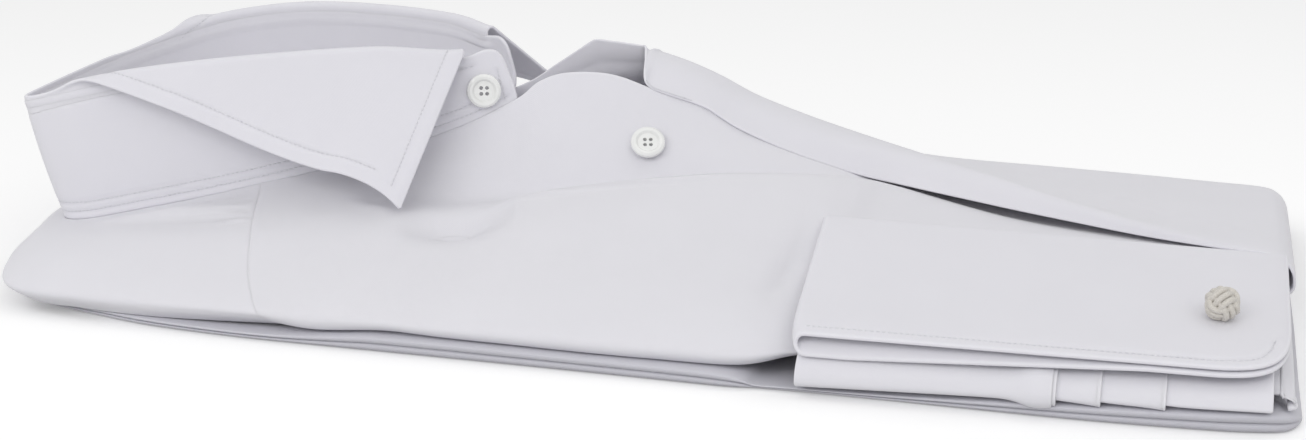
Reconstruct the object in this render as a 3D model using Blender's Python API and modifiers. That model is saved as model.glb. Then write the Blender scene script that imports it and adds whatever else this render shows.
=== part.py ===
"""A long sleeve dress shirt with double cuffs, folded flat for a shelf and lying on its back.

Metres, +Z up. The collar points to -X, the hem fold is at +X, and the wearer's right side is at -Y,
where the right sleeve wraps the edge and its cuff lies on the front. The packet rests on z = 0.
"""
import math

import bpy
import bmesh
from mathutils import Vector

# Driving dimensions
HALF_WIDTH = 0.1175          # from the centre line to the side folds
END_X = 0.195                # the hem fold
SIDE_END_X = -0.195          # the shoulder fold at the side folds
CENTRE_END_X = -0.226        # the shoulder fold at the centre back
FRAME_SHIFT = 0.0150         # moves the origin to the middle of the packet
CLOTH = 0.0010               # shirting, one ply with its fusing or its fold allowance
BAND_CLOTH = 0.0016          # collar band: two plies and an interlining
LEAF_CLOTH = 0.0016          # collar leaf: the same
CUFF_CLOTH = 0.0018          # double cuff: the same, a little thicker
SLEEVE_CLOTH = 0.0016        # sleeve end, two plies pressed flat
SEAM_GAP = 0.0004            # between neighbouring pieces
BUTTON_WIDTH = 0.0114        # an 18 line shirt button
BUTTON_THICK = 0.0026
BUTTON_HOLE = 0.0013
KNOT_WIDTH = 0.0104

WHITE = (0.80, 0.80, 0.86)
PEARL = (0.86, 0.87, 0.83)
SILK = (0.74, 0.72, 0.68)

# The right front, from its front edge down to the fold under the near side.
# Columns: x at the front edge, x at the side fold, then y and z of each line along the panel.
RIGHT_FRONT = [
    (-0.1215, -0.0985, -.0530, .0360, -.0570, .0335, -.0640, .0310, -.0720, .0290,
     -.0880, .0243, -.1060, .0165, -.1175, .0095, -.1100, .0048),
    (-0.0950, -0.0800, -.0425, .0428, -.0470, .0370, -.0540, .0305, -.0680, .0285,
     -.0870, .0240, -.1050, .0170, -.1175, .0098, -.1100, .0056),
    (-0.0720, -0.0620, -.0325, .0508, -.0380, .0405, -.0460, .0305, -.0630, .0290,
     -.0850, .0240, -.1045, .0173, -.1175, .0100, -.1100, .0060),
    (-0.0530, -0.0480, -.0225, .0588, -.0300, .0445, -.0420, .0315, -.0590, .0318,
     -.0830, .0252, -.1040, .0176, -.1175, .0100, -.1100, .0060),
    (-0.0300, -0.0300, -.0140, .0650, -.0240, .0500, -.0385, .0345, -.0530, .0358,
     -.0800, .0275, -.1040, .0180, -.1175, .0100, -.1100, .0060),
    (-0.0100, -0.0100, -.0095, .0622, -.0200, .0480, -.0345, .0348, -.0475, .0384,
     -.0780, .0286, -.1040, .0183, -.1175, .0100, -.1100, .0060),
    (0.0150, 0.0150, -.0045, .0515, -.0150, .0430, -.0270, .0365, -.0395, .0403,
     -.0730, .0298, -.1030, .0185, -.1170, .0100, -.1095, .0060),
    (0.0450, 0.0450, .0010, .0415, -.0080, .0388, -.0170, .0366, -.0270, .0396,
     -.0670, .0262, -.1020, .0172, -.1155, .0100, -.1085, .0062),
    (0.0600, 0.0600, .0035, .0378, -.0030, .0365, -.0100, .0352, -.0190, .0366,
     -.0630, .0249, -.1000, .0158, -.1120, .0104, -.1050, .0078),
    (0.0750, 0.0700, .0060, .0340, .0000, .0338, -.0060, .0334, -.0130, .0338,
     -.0600, .0236, -.0975, .0148, -.1100, .0106, -.1030, .0084),
    (0.1100, 0.1100, .0080, .0285, .0000, .0285, -.0080, .0284, -.0200, .0283,
     -.0580, .0230, -.0970, .0146, -.1095, .0106, -.1030, .0084),
    (0.1500, 0.1500, .0080, .0250, .0000, .0250, -.0080, .0249, -.0250, .0248,
     -.0600, .0212, -.0970, .0143, -.1095, .0106, -.1030, .0084),
    (0.1860, 0.1860, .0080, .0226, .0000, .0226, -.0080, .0225, -.0250, .0222,
     -.0600, .0196, -.0970, .0138, -.1095, .0106, -.1030, .0084),
]

PLACKET_FIRST_ROW = 1
# The left front, from the free edge of its placket over the centre and down to the far side fold.
LEFT_FRONT = [
    (-0.1060, -0.0985, .0500, .0400, .0530, .0385, .0570, .0365, .0680, .0320,
     .0850, .0260, .1050, .0170, .1175, .0098, .1100, .0056),
    (-0.0700, -0.0700, .0210, .0560, .0250, .0535, .0310, .0490, .0480, .0400,
     .0780, .0290, .1040, .0178, .1175, .0100, .1100, .0060),
    (-0.0550, -0.0550, .0140, .0680, .0200, .0635, .0290, .0560, .0480, .0430,
     .0780, .0300, .1040, .0180, .1175, .0100, .1100, .0060),
    (-0.0420, -0.0420, .0100, .0745, .0170, .0710, .0280, .0620, .0480, .0460,
     .0780, .0305, .1040, .0182, .1175, .0100, .1100, .0060),
    (-0.0270, -0.0270, .0080, .0740, .0140, .0718, .0250, .0645, .0480, .0470,
     .0780, .0310, .1040, .0183, .1175, .0100, .1100, .0060),
    (-0.0190, -0.0190, -.0030, .0690, .0080, .0722, .0200, .0680, .0480, .0475,
     .0780, .0310, .1040, .0183, .1175, .0100, .1100, .0060),
    (-0.0100, -0.0100, -.0125, .0655, .0030, .0705, .0180, .0685, .0480, .0475,
     .0780, .0310, .1040, .0183, .1175, .0100, .1100, .0060),
    (0.0030, 0.0030, -.0130, .0605, .0020, .0650, .0180, .0640, .0480, .0465,
     .0780, .0305, .1040, .0183, .1175, .0100, .1100, .0060),
    (0.0180, 0.0180, -.0130, .0535, .0020, .0575, .0190, .0575, .0480, .0440,
     .0780, .0300, .1040, .0182, .1175, .0100, .1100, .0060),
    (0.0370, 0.0370, -.0125, .0465, .0030, .0500, .0200, .0510, .0480, .0410,
     .0780, .0295, .1040, .0180, .1175, .0100, .1100, .0060),
    (0.0570, 0.0570, -.0120, .0418, .0040, .0440, .0205, .0450, .0480, .0370,
     .0780, .0285, .1040, .0178, .1175, .0100, .1100, .0060),
    (0.0780, 0.0780, -.0120, .0375, .0050, .0388, .0220, .0385, .0480, .0330,
     .0780, .0272, .1040, .0175, .1175, .0100, .1100, .0060),
    (0.1100, 0.1100, -.0130, .0320, .0040, .0322, .0220, .0320, .0500, .0298,
     .0780, .0262, .1040, .0172, .1175, .0100, .1100, .0060),
    (0.1500, 0.1500, -.0150, .0276, .0030, .0278, .0200, .0278, .0500, .0270,
     .0780, .0250, .1040, .0168, .1175, .0100, .1100, .0060),
    (0.1860, 0.1860, -.0160, .0249, .0030, .0250, .0200, .0250, .0500, .0246,
     .0780, .0234, .1040, .0164, .1175, .0100, .1100, .0060),
]

# The ends of both fronts roll down over the hem fold: how far along x, and how much of the height is left.
END_INSET = 0.0024           # the right front's roll lies inside the left front's
END_ROLL = [(0.1915, 0.90), (0.1945, 0.70), (0.1950, 0.48), (0.1935, 0.36)]

# The neckline, where the collar band is sewn, from the right front's edge round the back to the left front's.
# Columns: the seam, the band's top edge, then the leaf above it: its width, how far it turns outward in degrees,
# and how far its point slides towards the back.
NECKLINE = [
    (-.0550, -.0240, .0597, -.0605, -.0252, .0800, .0060, 0, .000),
    (-.0700, -.0318, .0522, -.0712, -.0312, .0735, .0540, 147, .013),
    (-.0950, -.0430, .0436, -.0960, -.0420, .0748, .0510, 154, .012),
    (-.1200, -.0535, .0365, -.1215, -.0530, .0736, .0410, 156, .009),
    (-.1450, -.0620, .0305, -.1480, -.0620, .0712, .0290, 154, .006),
    (-.1700, -.0690, .0252, -.1760, -.0690, .0672, .0170, 130, .003),
    (-.1900, -.0735, .0212, -.1980, -.0735, .0622, .0080, 50, .000),
    (-.2015, -.0695, .0202, -.2110, -.0700, .0572, .0060, 0, .000),
    (-.2065, -.0500, .0205, -.2155, -.0500, .0600, .0060, 0, .000),
    (-.2080, -.0150, .0215, -.2165, -.0150, .0650, .0060, 0, .000),
    (-.2040, .0200, .0225, -.2130, .0200, .0705, .0080, 20, .000),
    (-.1890, .0430, .0245, -.1970, .0440, .0755, .0180, 100, .000),
    (-.1650, .0500, .0285, -.1690, .0510, .0785, .0320, 125, .000),
    (-.1350, .0480, .0345, -.1360, .0490, .0785, .0440, 128, .000),
    (-.1050, .0390, .0430, -.1050, .0400, .0765, .0520, 128, .000),
    (-.0850, .0285, .0505, -.0860, .0290, .0735, .0550, 128, .000),
    (-.0720, .0200, .0562, -.0745, .0205, .0750, .0060, 0, .000),
]
LEAF_STAND = 0.0012          # the leaf rises this far above the band before it turns
LEAF_RADIUS = 0.0026         # radius of its roll
NEAR_LEAF_START = 1          # row where the leaf's front edge is on the right side
FAR_LEAF_END = 15            # and on the left side

# The yoke, from the neckline over the shoulders and the fold behind the collar to its lip underneath.
# Columns: place along the neckline, then the middle, brow, side and lip of the panel.
YOKE = [
    (3.04, (-.1098, -.0850, .0250), (-.1064, -.1050, .0168), (-.1031, -.1175, .0095), (-.0998, -.1100, .0048)),
    (4.00, (-.1400, -.0900, .0235), (-.1350, -.1060, .0165), (-.1320, -.1175, .0090), (-.1320, -.1100, .0046)),
    (5.00, (-.1680, -.0920, .0215), (-.1680, -.1065, .0160), (-.1670, -.1172, .0092), (-.1660, -.1100, .0050)),
    (5.90, (-.1885, -.0905, .0197), (-.1905, -.1020, .0158), (-.1950, -.1115, .0092), (-.1880, -.1060, .0052)),
    (6.50, (-.2010, -.0820, .0183), (-.2050, -.0870, .0150), (-.2085, -.0910, .0098), (-.2010, -.0880, .0054)),
    (7.20, (-.2085, -.0670, .0182), (-.2130, -.0680, .0150), (-.2158, -.0690, .0100), (-.2080, -.0680, .0054)),
    (8.00, (-.2145, -.0480, .0186), (-.2190, -.0480, .0155), (-.2215, -.0480, .0102), (-.2140, -.0480, .0054)),
    (9.00, (-.2180, -.0130, .0192), (-.2230, -.0130, .0160), (-.2258, -.0130, .0105), (-.2180, -.0130, .0054)),
    (10.0, (-.2140, .0260, .0195), (-.2195, .0310, .0158), (-.2228, .0340, .0104), (-.2150, .0320, .0054)),
    (11.0, (-.2010, .0630, .0195), (-.2085, .0740, .0156), (-.2130, .0800, .0102), (-.2075, .0785, .0054)),
    (11.6, (-.1850, .0800, .0200), (-.1930, .0980, .0157), (-.1970, .1080, .0100), (-.1930, .1065, .0054)),
    (12.3, (-.1630, .0850, .0218), (-.1640, .1050, .0162), (-.1640, .1165, .0098), (-.1630, .1110, .0055)),
    (13.0, (-.1380, .0850, .0240), (-.1340, .1055, .0166), (-.1320, .1175, .0098), (-.1320, .1100, .0056)),
    (13.95, (-.1038, .0830, .0264), (-.1015, .1050, .0169), (-.1002, .1175, .0098), (-.0992, .1100, .0056)),
]

# The lower folds on the surface: x, thickness at the near side, thickness at the far side, share of the width.
LOWER_FOLD = [
    (-0.1930, .0024, .0024, .880), (-0.1900, .0038, .0040, .915), (-0.1800, .0040, .0046, .965),
    (-0.1600, .0042, .0046, 1.0), (-0.1000, .0044, .0048, 1.0), (0.0300, .0048, .0048, 1.0),
    (0.0480, .0036, .0048, 1.0), (0.0600, .0018, .0048, 1.0), (0.0900, .0020, .0048, 1.0),
    (0.1300, .0036, .0048, 1.0), (0.1700, .0048, .0048, 1.0), (0.1890, .0050, .0046, .995),
    (0.1935, .0028, .0024, .985),
]

# The inner folds that fill the packet: x, height at the brow, on the slope and along the middle.
INNER_FOLD = [
    (-0.1830, .0120, .0125, .0125), (-0.1750, .0142, .0160, .0165), (-0.1400, .0148, .0190, .0185),
    (-0.1000, .0150, .0215, .0215), (-0.0500, .0155, .0235, .0250), (0.0000, .0160, .0255, .0265),
    (0.0450, .0145, .0230, .0265), (0.0750, .0126, .0190, .0255), (0.1100, .0122, .0180, .0230),
    (0.1500, .0118, .0165, .0205), (0.1800, .0114, .0150, .0185), (0.1880, .0100, .0110, .0115),
]

# The sleeve where it comes round the near side: y and z of its outer face, at its left and at the hem fold.
SLEEVE_LEFT_X = 0.0630
SLEEVE_RIGHT_X = 0.1865
SLEEVE_LINES = [
    (-.1000, .0172, -.0970, .0164), (-.1080, .0148, -.1040, .0144), (-.1150, .0112, -.1125, .0114),
    (-.1172, .0074, -.1150, .0092), (-.1150, .0044, -.1120, .0073), (-.1060, .0036, -.1020, .0065),
]

# The double cuff, folded back on itself: y and z of its face, at its side fold and at its open ends.
CUFF_TOP_X = 0.0550
CUFF_BOTTOM_X = 0.0615
CUFF_END_X = 0.1905
CUFF_CORNER = 0.016
CUFF_LINES = [
    (-.0500, .0340, -.0380, .0290), (-.0700, .0297, -.0580, .0264), (-.0930, .0240, -.0850, .0228),
    (-.1120, .0202, -.1060, .0196), (-.1195, .0184, -.1150, .0178),
]
CUFF_GAP = 0.0005
KNOT_SHARES = (0.867, 0.52)  # across the cuff's length and down its depth


def smooth_between(values, position):
    """A smooth value between the numbers of a list, read at a position counted in steps of the list."""
    last = len(values) - 1
    low = min(int(position), last - 1)
    part = position - low
    before = values[max(low - 1, 0)]
    start = values[low]
    end = values[low + 1]
    after = values[min(low + 2, last)]
    slope_in = (end - before) / 2.0
    slope_out = (after - start) / 2.0
    return (
        (2 * part**3 - 3 * part**2 + 1) * start
        + (part**3 - 2 * part**2 + part) * slope_in
        + (-2 * part**3 + 3 * part**2) * end
        + (part**3 - part**2) * slope_out
    )


def smooth_point(points, position):
    """A smooth point between the points of a list."""
    return Vector([smooth_between([point[axis] for point in points], position) for axis in range(3)])


def refine(points, steps):
    """The points of a smooth line through a list of points, with a number of steps to each span."""
    count = (len(points) - 1) * steps
    return [smooth_point(points, index / steps) for index in range(count + 1)]


def material(name, colour, roughness):
    made = bpy.data.materials.new(name)
    made.use_nodes = True
    shader = made.node_tree.nodes["Principled BSDF"]
    shader.inputs["Base Color"].default_value = (*colour, 1.0)
    shader.inputs["Roughness"].default_value = roughness
    shader.inputs["Metallic"].default_value = 0.0
    return made


def add_object(name, mesh, colour=WHITE, roughness=0.75, smooth=True):
    if smooth:
        mesh.shade_smooth()
        mesh.set_sharp_from_angle(angle=math.radians(40))
    mesh.materials.append(material(name + "_finish", colour, roughness))
    piece = bpy.data.objects.new(name, mesh)
    collection.objects.link(piece)
    piece.location.x = FRAME_SHIFT
    return piece


def grid_mesh(name, rows):
    """An open surface through rows of points."""
    mesh = bpy.data.meshes.new(name)
    shape = bmesh.new()
    lines = [[shape.verts.new(point) for point in row] for row in rows]
    for first, second in zip(lines, lines[1:]):
        for index in range(len(first) - 1):
            shape.faces.new((first[index], first[index + 1], second[index + 1], second[index]))
    shape.to_mesh(mesh)
    shape.free()
    return mesh


def add_cloth(name, rows, thickness, offset=-1.0, flip=False):
    """A wall of cloth on an open surface; the outer face is the surface itself."""
    if flip:
        rows = rows[::-1]
    piece = add_object(name, grid_mesh(name, rows))
    wall = piece.modifiers.new("Wall", "SOLIDIFY")
    wall.thickness = thickness
    wall.offset = offset
    wall.use_even_offset = False
    return piece


def panel_sections(table, end_inset=0.0):
    """Each row of a front's table as a list of points across the panel, then the roll over the hem fold."""
    sections = []
    for row in table:
        edge_x, side_x = row[0], row[1]
        pairs = list(zip(row[2::2], row[3::2]))
        last = len(pairs) - 1
        sections.append([
            Vector((edge_x + (side_x - edge_x) * index / last, y, z))
            for index, (y, z) in enumerate(pairs)
        ])
    top = sections[-1]
    for x, share in END_ROLL:
        sections.append([Vector((x - end_inset, point.y, 0.004 + (point.z - 0.004) * share)) for point in top])
    return sections


def panel_rows(table, end_inset=0.0, across=2, along=1):
    """A panel's table as a grid of points, refined across and along."""
    sections = [refine(section, across) for section in panel_sections(table, end_inset)]
    columns = [refine(list(column), along) for column in zip(*sections)]
    return [list(row) for row in zip(*columns)]


def neck_rows(steps=3):
    """The neckline table with smooth rows between its own."""
    count = (len(NECKLINE) - 1) * steps
    columns = list(zip(*NECKLINE))
    return [[smooth_between(column, index / steps) for column in columns] for index in range(count + 1)]


def outward(points, index):
    """The level direction away from the inside of the collar, at a point of a line round it."""
    run = points[min(index + 1, len(points) - 1)] - points[max(index - 1, 0)]
    return Vector((-run.y, run.x, 0.0)).normalized()


def leaf_profile(base, away, along, width, turn, slide):
    """The leaf's section at one place: up from the band, over its roll and down to its outer edge."""
    angle_total = math.radians(max(turn, 0.0))
    arc_steps = 4
    fall_steps = 3
    place = base + Vector((0.0, 0.0, SEAM_GAP))
    points = [place.copy()]
    place = place + Vector((0.0, 0.0, LEAF_STAND))
    points.append(place.copy())
    arc_length = LEAF_RADIUS * angle_total
    rest = max(width - arc_length - LEAF_STAND, 0.0008 * fall_steps)
    arc_stride = max(arc_length, 0.0008 * arc_steps) / arc_steps
    for index in range(arc_steps):
        angle = angle_total * (index + 0.5) / arc_steps
        place = place + (away * math.sin(angle) + Vector((0.0, 0.0, math.cos(angle)))) * arc_stride
        points.append(place.copy())
    direction = away * math.sin(angle_total) + Vector((0.0, 0.0, math.cos(angle_total)))
    for index in range(fall_steps):
        place = place + direction * rest / fall_steps + along * slide / fall_steps
        points.append(place.copy())
    return points


def make_collar():
    rows = neck_rows()
    seam = [Vector(row[0:3]) for row in rows]
    top = [Vector(row[3:6]) for row in rows]
    lift = Vector((0.0, 0.0, SEAM_GAP / 2))
    band = [[low + lift, low.lerp(high, 0.5), high] for low, high in zip(seam, top)]
    add_cloth("collar_band", band, BAND_CLOTH)
    leaf = []
    for index in range(NEAR_LEAF_START * 3, FAR_LEAF_END * 3 + 1):
        away = outward(top, index)
        along = (top[min(index + 1, len(top) - 1)] - top[index - 1]).normalized()
        width, turn, slide = rows[index][6:9]
        leaf.append(leaf_profile(top[index], away, along, width, turn, slide))
    add_cloth("collar_leaf", leaf, LEAF_CLOTH, flip=True)
    return seam, top


def make_yoke(seam):
    columns = list(zip(*YOKE))
    steps = 2
    rows = []
    for index in range((len(YOKE) - 1) * steps + 1):
        place = smooth_between(columns[0], index / steps)
        neck = smooth_point(seam, place * 3) - Vector((0.0, 0.0, SEAM_GAP / 2))
        outer = [smooth_point(column, index / steps) for column in columns[1:]]
        rows.append(refine([neck] + outer, 2))
    add_cloth("yoke", rows, CLOTH, flip=True)


def make_fronts():
    right = panel_rows(RIGHT_FRONT, END_INSET)
    add_cloth("right_front", right, CLOTH)
    left = panel_rows(LEFT_FRONT)
    add_cloth("left_front", [row[4:] for row in left], CLOTH, flip=True)
    placket = []
    for row in left[PLACKET_FIRST_ROW:]:
        placket.append(row[:4] + [row[3].lerp(row[4], 0.88)])
    add_cloth("left_placket", placket, CLOTH, flip=True)
    return right


def end_bulge(y, x):
    """How much further out the shoulder fold lies towards the centre back."""
    fade = min(max((-0.10 - x) / (-0.10 - SIDE_END_X), 0.0), 1.0)
    return (CENTRE_END_X - SIDE_END_X) * (1.0 - (y / HALF_WIDTH) ** 2) * fade**2


def closed_loft(name, sections):
    """A closed solid through closed sections with equal counts of points, capped at both ends."""
    mesh = bpy.data.meshes.new(name)
    shape = bmesh.new()
    loops = [[shape.verts.new(point) for point in section] for section in sections]
    count = len(sections[0])
    for first, second in zip(loops, loops[1:]):
        for index in range(count):
            after = (index + 1) % count
            shape.faces.new((first[index], first[after], second[after], second[index]))
    shape.faces.new(loops[0][::-1])
    shape.faces.new(loops[-1])
    bmesh.ops.recalc_face_normals(shape, faces=shape.faces[:])
    bmesh.ops.triangulate(shape, faces=shape.faces[:])
    shape.to_mesh(mesh)
    shape.free()
    return mesh


def bent_section(x, pairs):
    return [Vector((x + end_bulge(y, x), y, z)) for y, z in pairs]


def make_core():
    """The hidden folds as one rounded solid: the lower folds show as a ply of their own along the edges."""
    lower = []
    for x, near, far, width in LOWER_FOLD:
        ply = [
            (0.1130, 0.0), (0.1165, far * 0.25), (0.1175, far * 0.5), (0.1165, far * 0.8), (0.1130, far),
            (0.0600, far), (0.0000, 0.0048), (-0.0600, max(near, 0.0030)), (-0.1110, near),
            (-0.1180, near * 0.8), (-0.1195, near * 0.5), (-0.1180, near * 0.2), (-0.1130, 0.0), (0.0, 0.0),
        ]
        lower.append(bent_section(x, [(y * width, z) for y, z in ply]))
    inner = []
    for x, brow, slope, middle in INNER_FOLD:
        inner.append(bent_section(x, [
            (0.1040, 0.0022), (0.1060, 0.0040), (0.1060, brow - 0.0050), (0.1000, brow), (0.0780, slope),
            (0.0400, middle), (0.0000, middle), (-0.0400, middle), (-0.0700, slope), (-0.0930, brow),
            (-0.0990, brow - 0.0045), (-0.0990, 0.0034), (-0.0970, 0.0014), (0.0, 0.0014),
        ]))
    core = add_object("hidden_folds", closed_loft("hidden_folds", lower), smooth=False)
    filling = bpy.data.objects.new("inner_fold_tool", closed_loft("inner_fold_tool", inner))
    tools.objects.link(filling)
    filling.location.x = FRAME_SHIFT
    filling.hide_render = True
    filling.display_type = "WIRE"
    join = core.modifiers.new("Join", "BOOLEAN")
    join.operation = "UNION"
    join.solver = "EXACT"
    join.object = filling


def make_sleeve():
    """The sleeve's end, pressed flat, brought round the near side with pleats towards the cuff."""
    rows = []
    count = 24
    for step in range(count + 1):
        share = step / count
        x = SLEEVE_LEFT_X + (SLEEVE_RIGHT_X - SLEEVE_LEFT_X) * share
        line = [Vector((x, ly + (ry - ly) * share, lz + (rz - lz) * share)) for ly, lz, ry, rz in SLEEVE_LINES]
        rows.append(refine(line, 2))
    add_cloth("right_sleeve", rows, SLEEVE_CLOTH)


def cuff_rows(depth):
    """The cuff's face, moved down by a depth, with its lower corner rounded at the open ends."""
    rows = []
    count = 12
    across = 2
    for step in range(count + 1):
        share = step / count
        line = []
        last = len(CUFF_LINES) - 1
        for index, (ly, lz, ry, rz) in enumerate(CUFF_LINES):
            left_x = CUFF_TOP_X + (CUFF_BOTTOM_X - CUFF_TOP_X) * index / last
            line.append(Vector((
                left_x + (CUFF_END_X - left_x) * share,
                ly + (ry - ly) * share,
                lz + (rz - lz) * share - depth,
            )))
        rows.append(refine(line, across))
    for row in rows:
        reach = max(CUFF_END_X - row[-1].x, 0.0)
        if reach < CUFF_CORNER:
            cut = CUFF_CORNER - math.sqrt(CUFF_CORNER**2 - (CUFF_CORNER - reach) ** 2)
            length = (row[-1] - row[0]).length
            row[:] = [smooth_point(row, index * (1.0 - cut / length)) for index in range(len(row))]
    return rows


def make_cuff():
    outer = cuff_rows(0.0)
    add_cloth("cuff_outer", outer, CUFF_CLOTH)
    add_cloth("cuff_inner", cuff_rows(CUFF_CLOTH + CUFF_GAP), CUFF_CLOTH)
    along = KNOT_SHARES[0] * (len(outer) - 1)
    down = KNOT_SHARES[1] * (len(outer[0]) - 1)
    line = [smooth_point(row, down) for row in outer]
    spot = smooth_point(line, along)
    ahead = smooth_point(line, along + 0.5) - spot
    aside = smooth_point([smooth_point(row, down + 0.5) for row in outer], along) - spot
    face = aside.cross(ahead).normalized()
    mesh = bpy.data.meshes.new("cuff_knot")
    shape = bmesh.new()
    bmesh.ops.create_uvsphere(shape, u_segments=20, v_segments=12, radius=KNOT_WIDTH / 2)
    bmesh.ops.scale(shape, vec=(1.0, 1.0, 0.78), verts=shape.verts)
    shape.to_mesh(mesh)
    shape.free()
    knot = add_object("cuff_knot", mesh, SILK)
    knot.rotation_mode = "QUATERNION"
    knot.rotation_quaternion = face.to_track_quat("Z", "Y")
    knot.location = spot + face * (KNOT_WIDTH * 0.39 + SEAM_GAP) + Vector((FRAME_SHIFT, 0.0, 0.0))


def make_button(name, spot, face):
    """A turned four hole shirt button lying on the cloth, its rim raised."""
    radius = BUTTON_WIDTH / 2
    thick = BUTTON_THICK
    profile = [
        (0.0, thick * 0.62), (radius * 0.58, thick * 0.66), (radius * 0.70, thick * 0.95), (radius * 0.84, thick),
        (radius * 0.97, thick * 0.80), (radius, thick * 0.50), (radius * 0.93, thick * 0.14), (radius * 0.75, 0.0),
        (0.0, 0.0),
    ]
    mesh = bpy.data.meshes.new(name)
    mesh.from_pydata([(x, 0.0, z) for x, z in profile], [(i, i + 1) for i in range(len(profile) - 1)], [])
    button = add_object(name, mesh, PEARL, 0.25)
    turn = button.modifiers.new("Turn", "SCREW")
    turn.steps = 28
    turn.render_steps = 28
    turn.merge_threshold = 0.00005
    turn.use_merge_vertices = True
    turn.use_normal_calculate = True
    button.rotation_mode = "QUATERNION"
    button.rotation_quaternion = face.to_track_quat("Z", "Y")
    button.location = spot + face * SEAM_GAP + Vector((FRAME_SHIFT, 0.0, 0.0))
    hole_mesh = bpy.data.meshes.new(name + "_hole_tool")
    shape = bmesh.new()
    for quarter in range(4):
        angle = math.radians(45 + 90 * quarter)
        made = bmesh.ops.create_cone(
            shape, cap_ends=True, segments=10, radius1=BUTTON_HOLE / 2, radius2=BUTTON_HOLE / 2, depth=thick * 3
        )
        centre = Vector((math.cos(angle), math.sin(angle), 0.0)) * BUTTON_HOLE * 1.05
        bmesh.ops.translate(shape, vec=centre + Vector((0.0, 0.0, thick / 2)), verts=made["verts"])
    shape.to_mesh(hole_mesh)
    shape.free()
    cutter = bpy.data.objects.new(name + "_hole_tool", hole_mesh)
    tools.objects.link(cutter)
    cutter.rotation_mode = "QUATERNION"
    cutter.rotation_quaternion = button.rotation_quaternion
    cutter.location = button.location
    cutter.hide_render = True
    cutter.display_type = "WIRE"
    cut = button.modifiers.new("Holes", "BOOLEAN")
    cut.operation = "DIFFERENCE"
    cut.solver = "EXACT"
    cut.object = cutter


def make_buttons(right_rows, seam, top):
    row = right_rows[5]
    spot = row[2].lerp(row[3], 0.2)
    across = row[3] - row[2]
    along = right_rows[6][2] - right_rows[4][2]
    make_button("front_button", spot, across.cross(along).normalized())
    spot = seam[2].lerp(top[2], 0.40)
    face = (top[2] - seam[2]).cross(seam[3] - seam[1]).normalized()
    make_button("collar_button", spot, face)


for old in list(bpy.data.objects):
    bpy.data.objects.remove(old, do_unlink=True)
collection = bpy.data.collections.new("dress_shirt")
bpy.context.scene.collection.children.link(collection)
tools = bpy.data.collections.new("tools")
bpy.context.scene.collection.children.link(tools)

make_core()
front_rows = make_fronts()
neck_seam, band_top = make_collar()
make_yoke(neck_seam)
make_sleeve()
make_cuff()
make_buttons(front_rows, neck_seam, band_top)
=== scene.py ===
"""A white long sleeve dress shirt with double cuffs, folded flat and lying on its back.

Metres, +Z up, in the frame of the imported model: +X runs from the collar to the hem fold, and the wearer's
right side, with its cuff on the front, is at -Y.
"""
import math

import bmesh
import bpy
import numpy as np
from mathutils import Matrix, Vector
from mathutils.bvhtree import BVHTree


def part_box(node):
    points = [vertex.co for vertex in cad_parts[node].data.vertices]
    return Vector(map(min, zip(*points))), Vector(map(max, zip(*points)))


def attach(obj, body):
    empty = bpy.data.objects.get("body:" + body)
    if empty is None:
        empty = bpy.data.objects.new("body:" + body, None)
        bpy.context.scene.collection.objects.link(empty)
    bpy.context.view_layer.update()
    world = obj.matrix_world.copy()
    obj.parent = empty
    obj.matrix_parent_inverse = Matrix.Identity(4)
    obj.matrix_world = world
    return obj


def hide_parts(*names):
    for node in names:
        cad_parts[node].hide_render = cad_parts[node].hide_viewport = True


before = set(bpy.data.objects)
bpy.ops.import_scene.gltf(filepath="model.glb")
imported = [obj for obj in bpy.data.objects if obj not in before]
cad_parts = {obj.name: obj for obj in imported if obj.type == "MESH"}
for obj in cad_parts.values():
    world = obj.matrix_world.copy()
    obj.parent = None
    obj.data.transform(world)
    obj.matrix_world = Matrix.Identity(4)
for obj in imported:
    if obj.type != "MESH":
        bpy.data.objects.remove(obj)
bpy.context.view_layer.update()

# ---------------------------------------------------------------------------------------------------------
# The view: a low camera at the shirt's right side, a little towards the hem, looking slightly down.
# ---------------------------------------------------------------------------------------------------------
EYE = (0.1798, -0.5926, 0.1696)
EYE_DOWN = 13.97
EYE_LEFT = 16.85
EYE_LENS = 51.0

camera_data = bpy.data.cameras.new("camera")
camera_data.lens = EYE_LENS
camera_data.sensor_width = 36.0
camera_data.clip_start = 0.01
camera = bpy.data.objects.new("camera", camera_data)
camera.location = EYE
camera.rotation_euler = (math.radians(90.0 - EYE_DOWN), 0.0, math.radians(EYE_LEFT))
bpy.context.scene.collection.objects.link(camera)
bpy.context.scene.camera = camera

# ---------------------------------------------------------------------------------------------------------
# The studio: a white sweep under the shirt, a white surround, and large soft lamps overhead and in front.
# The sweep looks whiter than the light that it sends back, so that the shirt keeps its soft shadows.
# ---------------------------------------------------------------------------------------------------------
SWEEP_HALF = 4.0
SWEEP_GAP = 0.0002           # the sweep lies this far under the shirt
SWEEP_GLOW = 0.12
SURROUND = 0.70
bpy.context.scene.view_settings.view_transform = "Standard"
world = bpy.data.worlds.new("surround")
world.use_nodes = True
world.node_tree.nodes["Background"].inputs["Color"].default_value = (1.0, 1.0, 1.0, 1.0)
world.node_tree.nodes["Background"].inputs["Strength"].default_value = SURROUND
bpy.context.scene.world = world


def soft_lamp(name, place, size, power, aim):
    data = bpy.data.lights.new(name, "AREA")
    data.shape = "RECTANGLE"
    data.size, data.size_y = size
    data.energy = power
    made = bpy.data.objects.new(name, data)
    made.location = place
    made.rotation_euler = (Vector(aim) - Vector(place)).to_track_quat("-Z", "Y").to_euler()
    bpy.context.scene.collection.objects.link(made)


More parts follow.
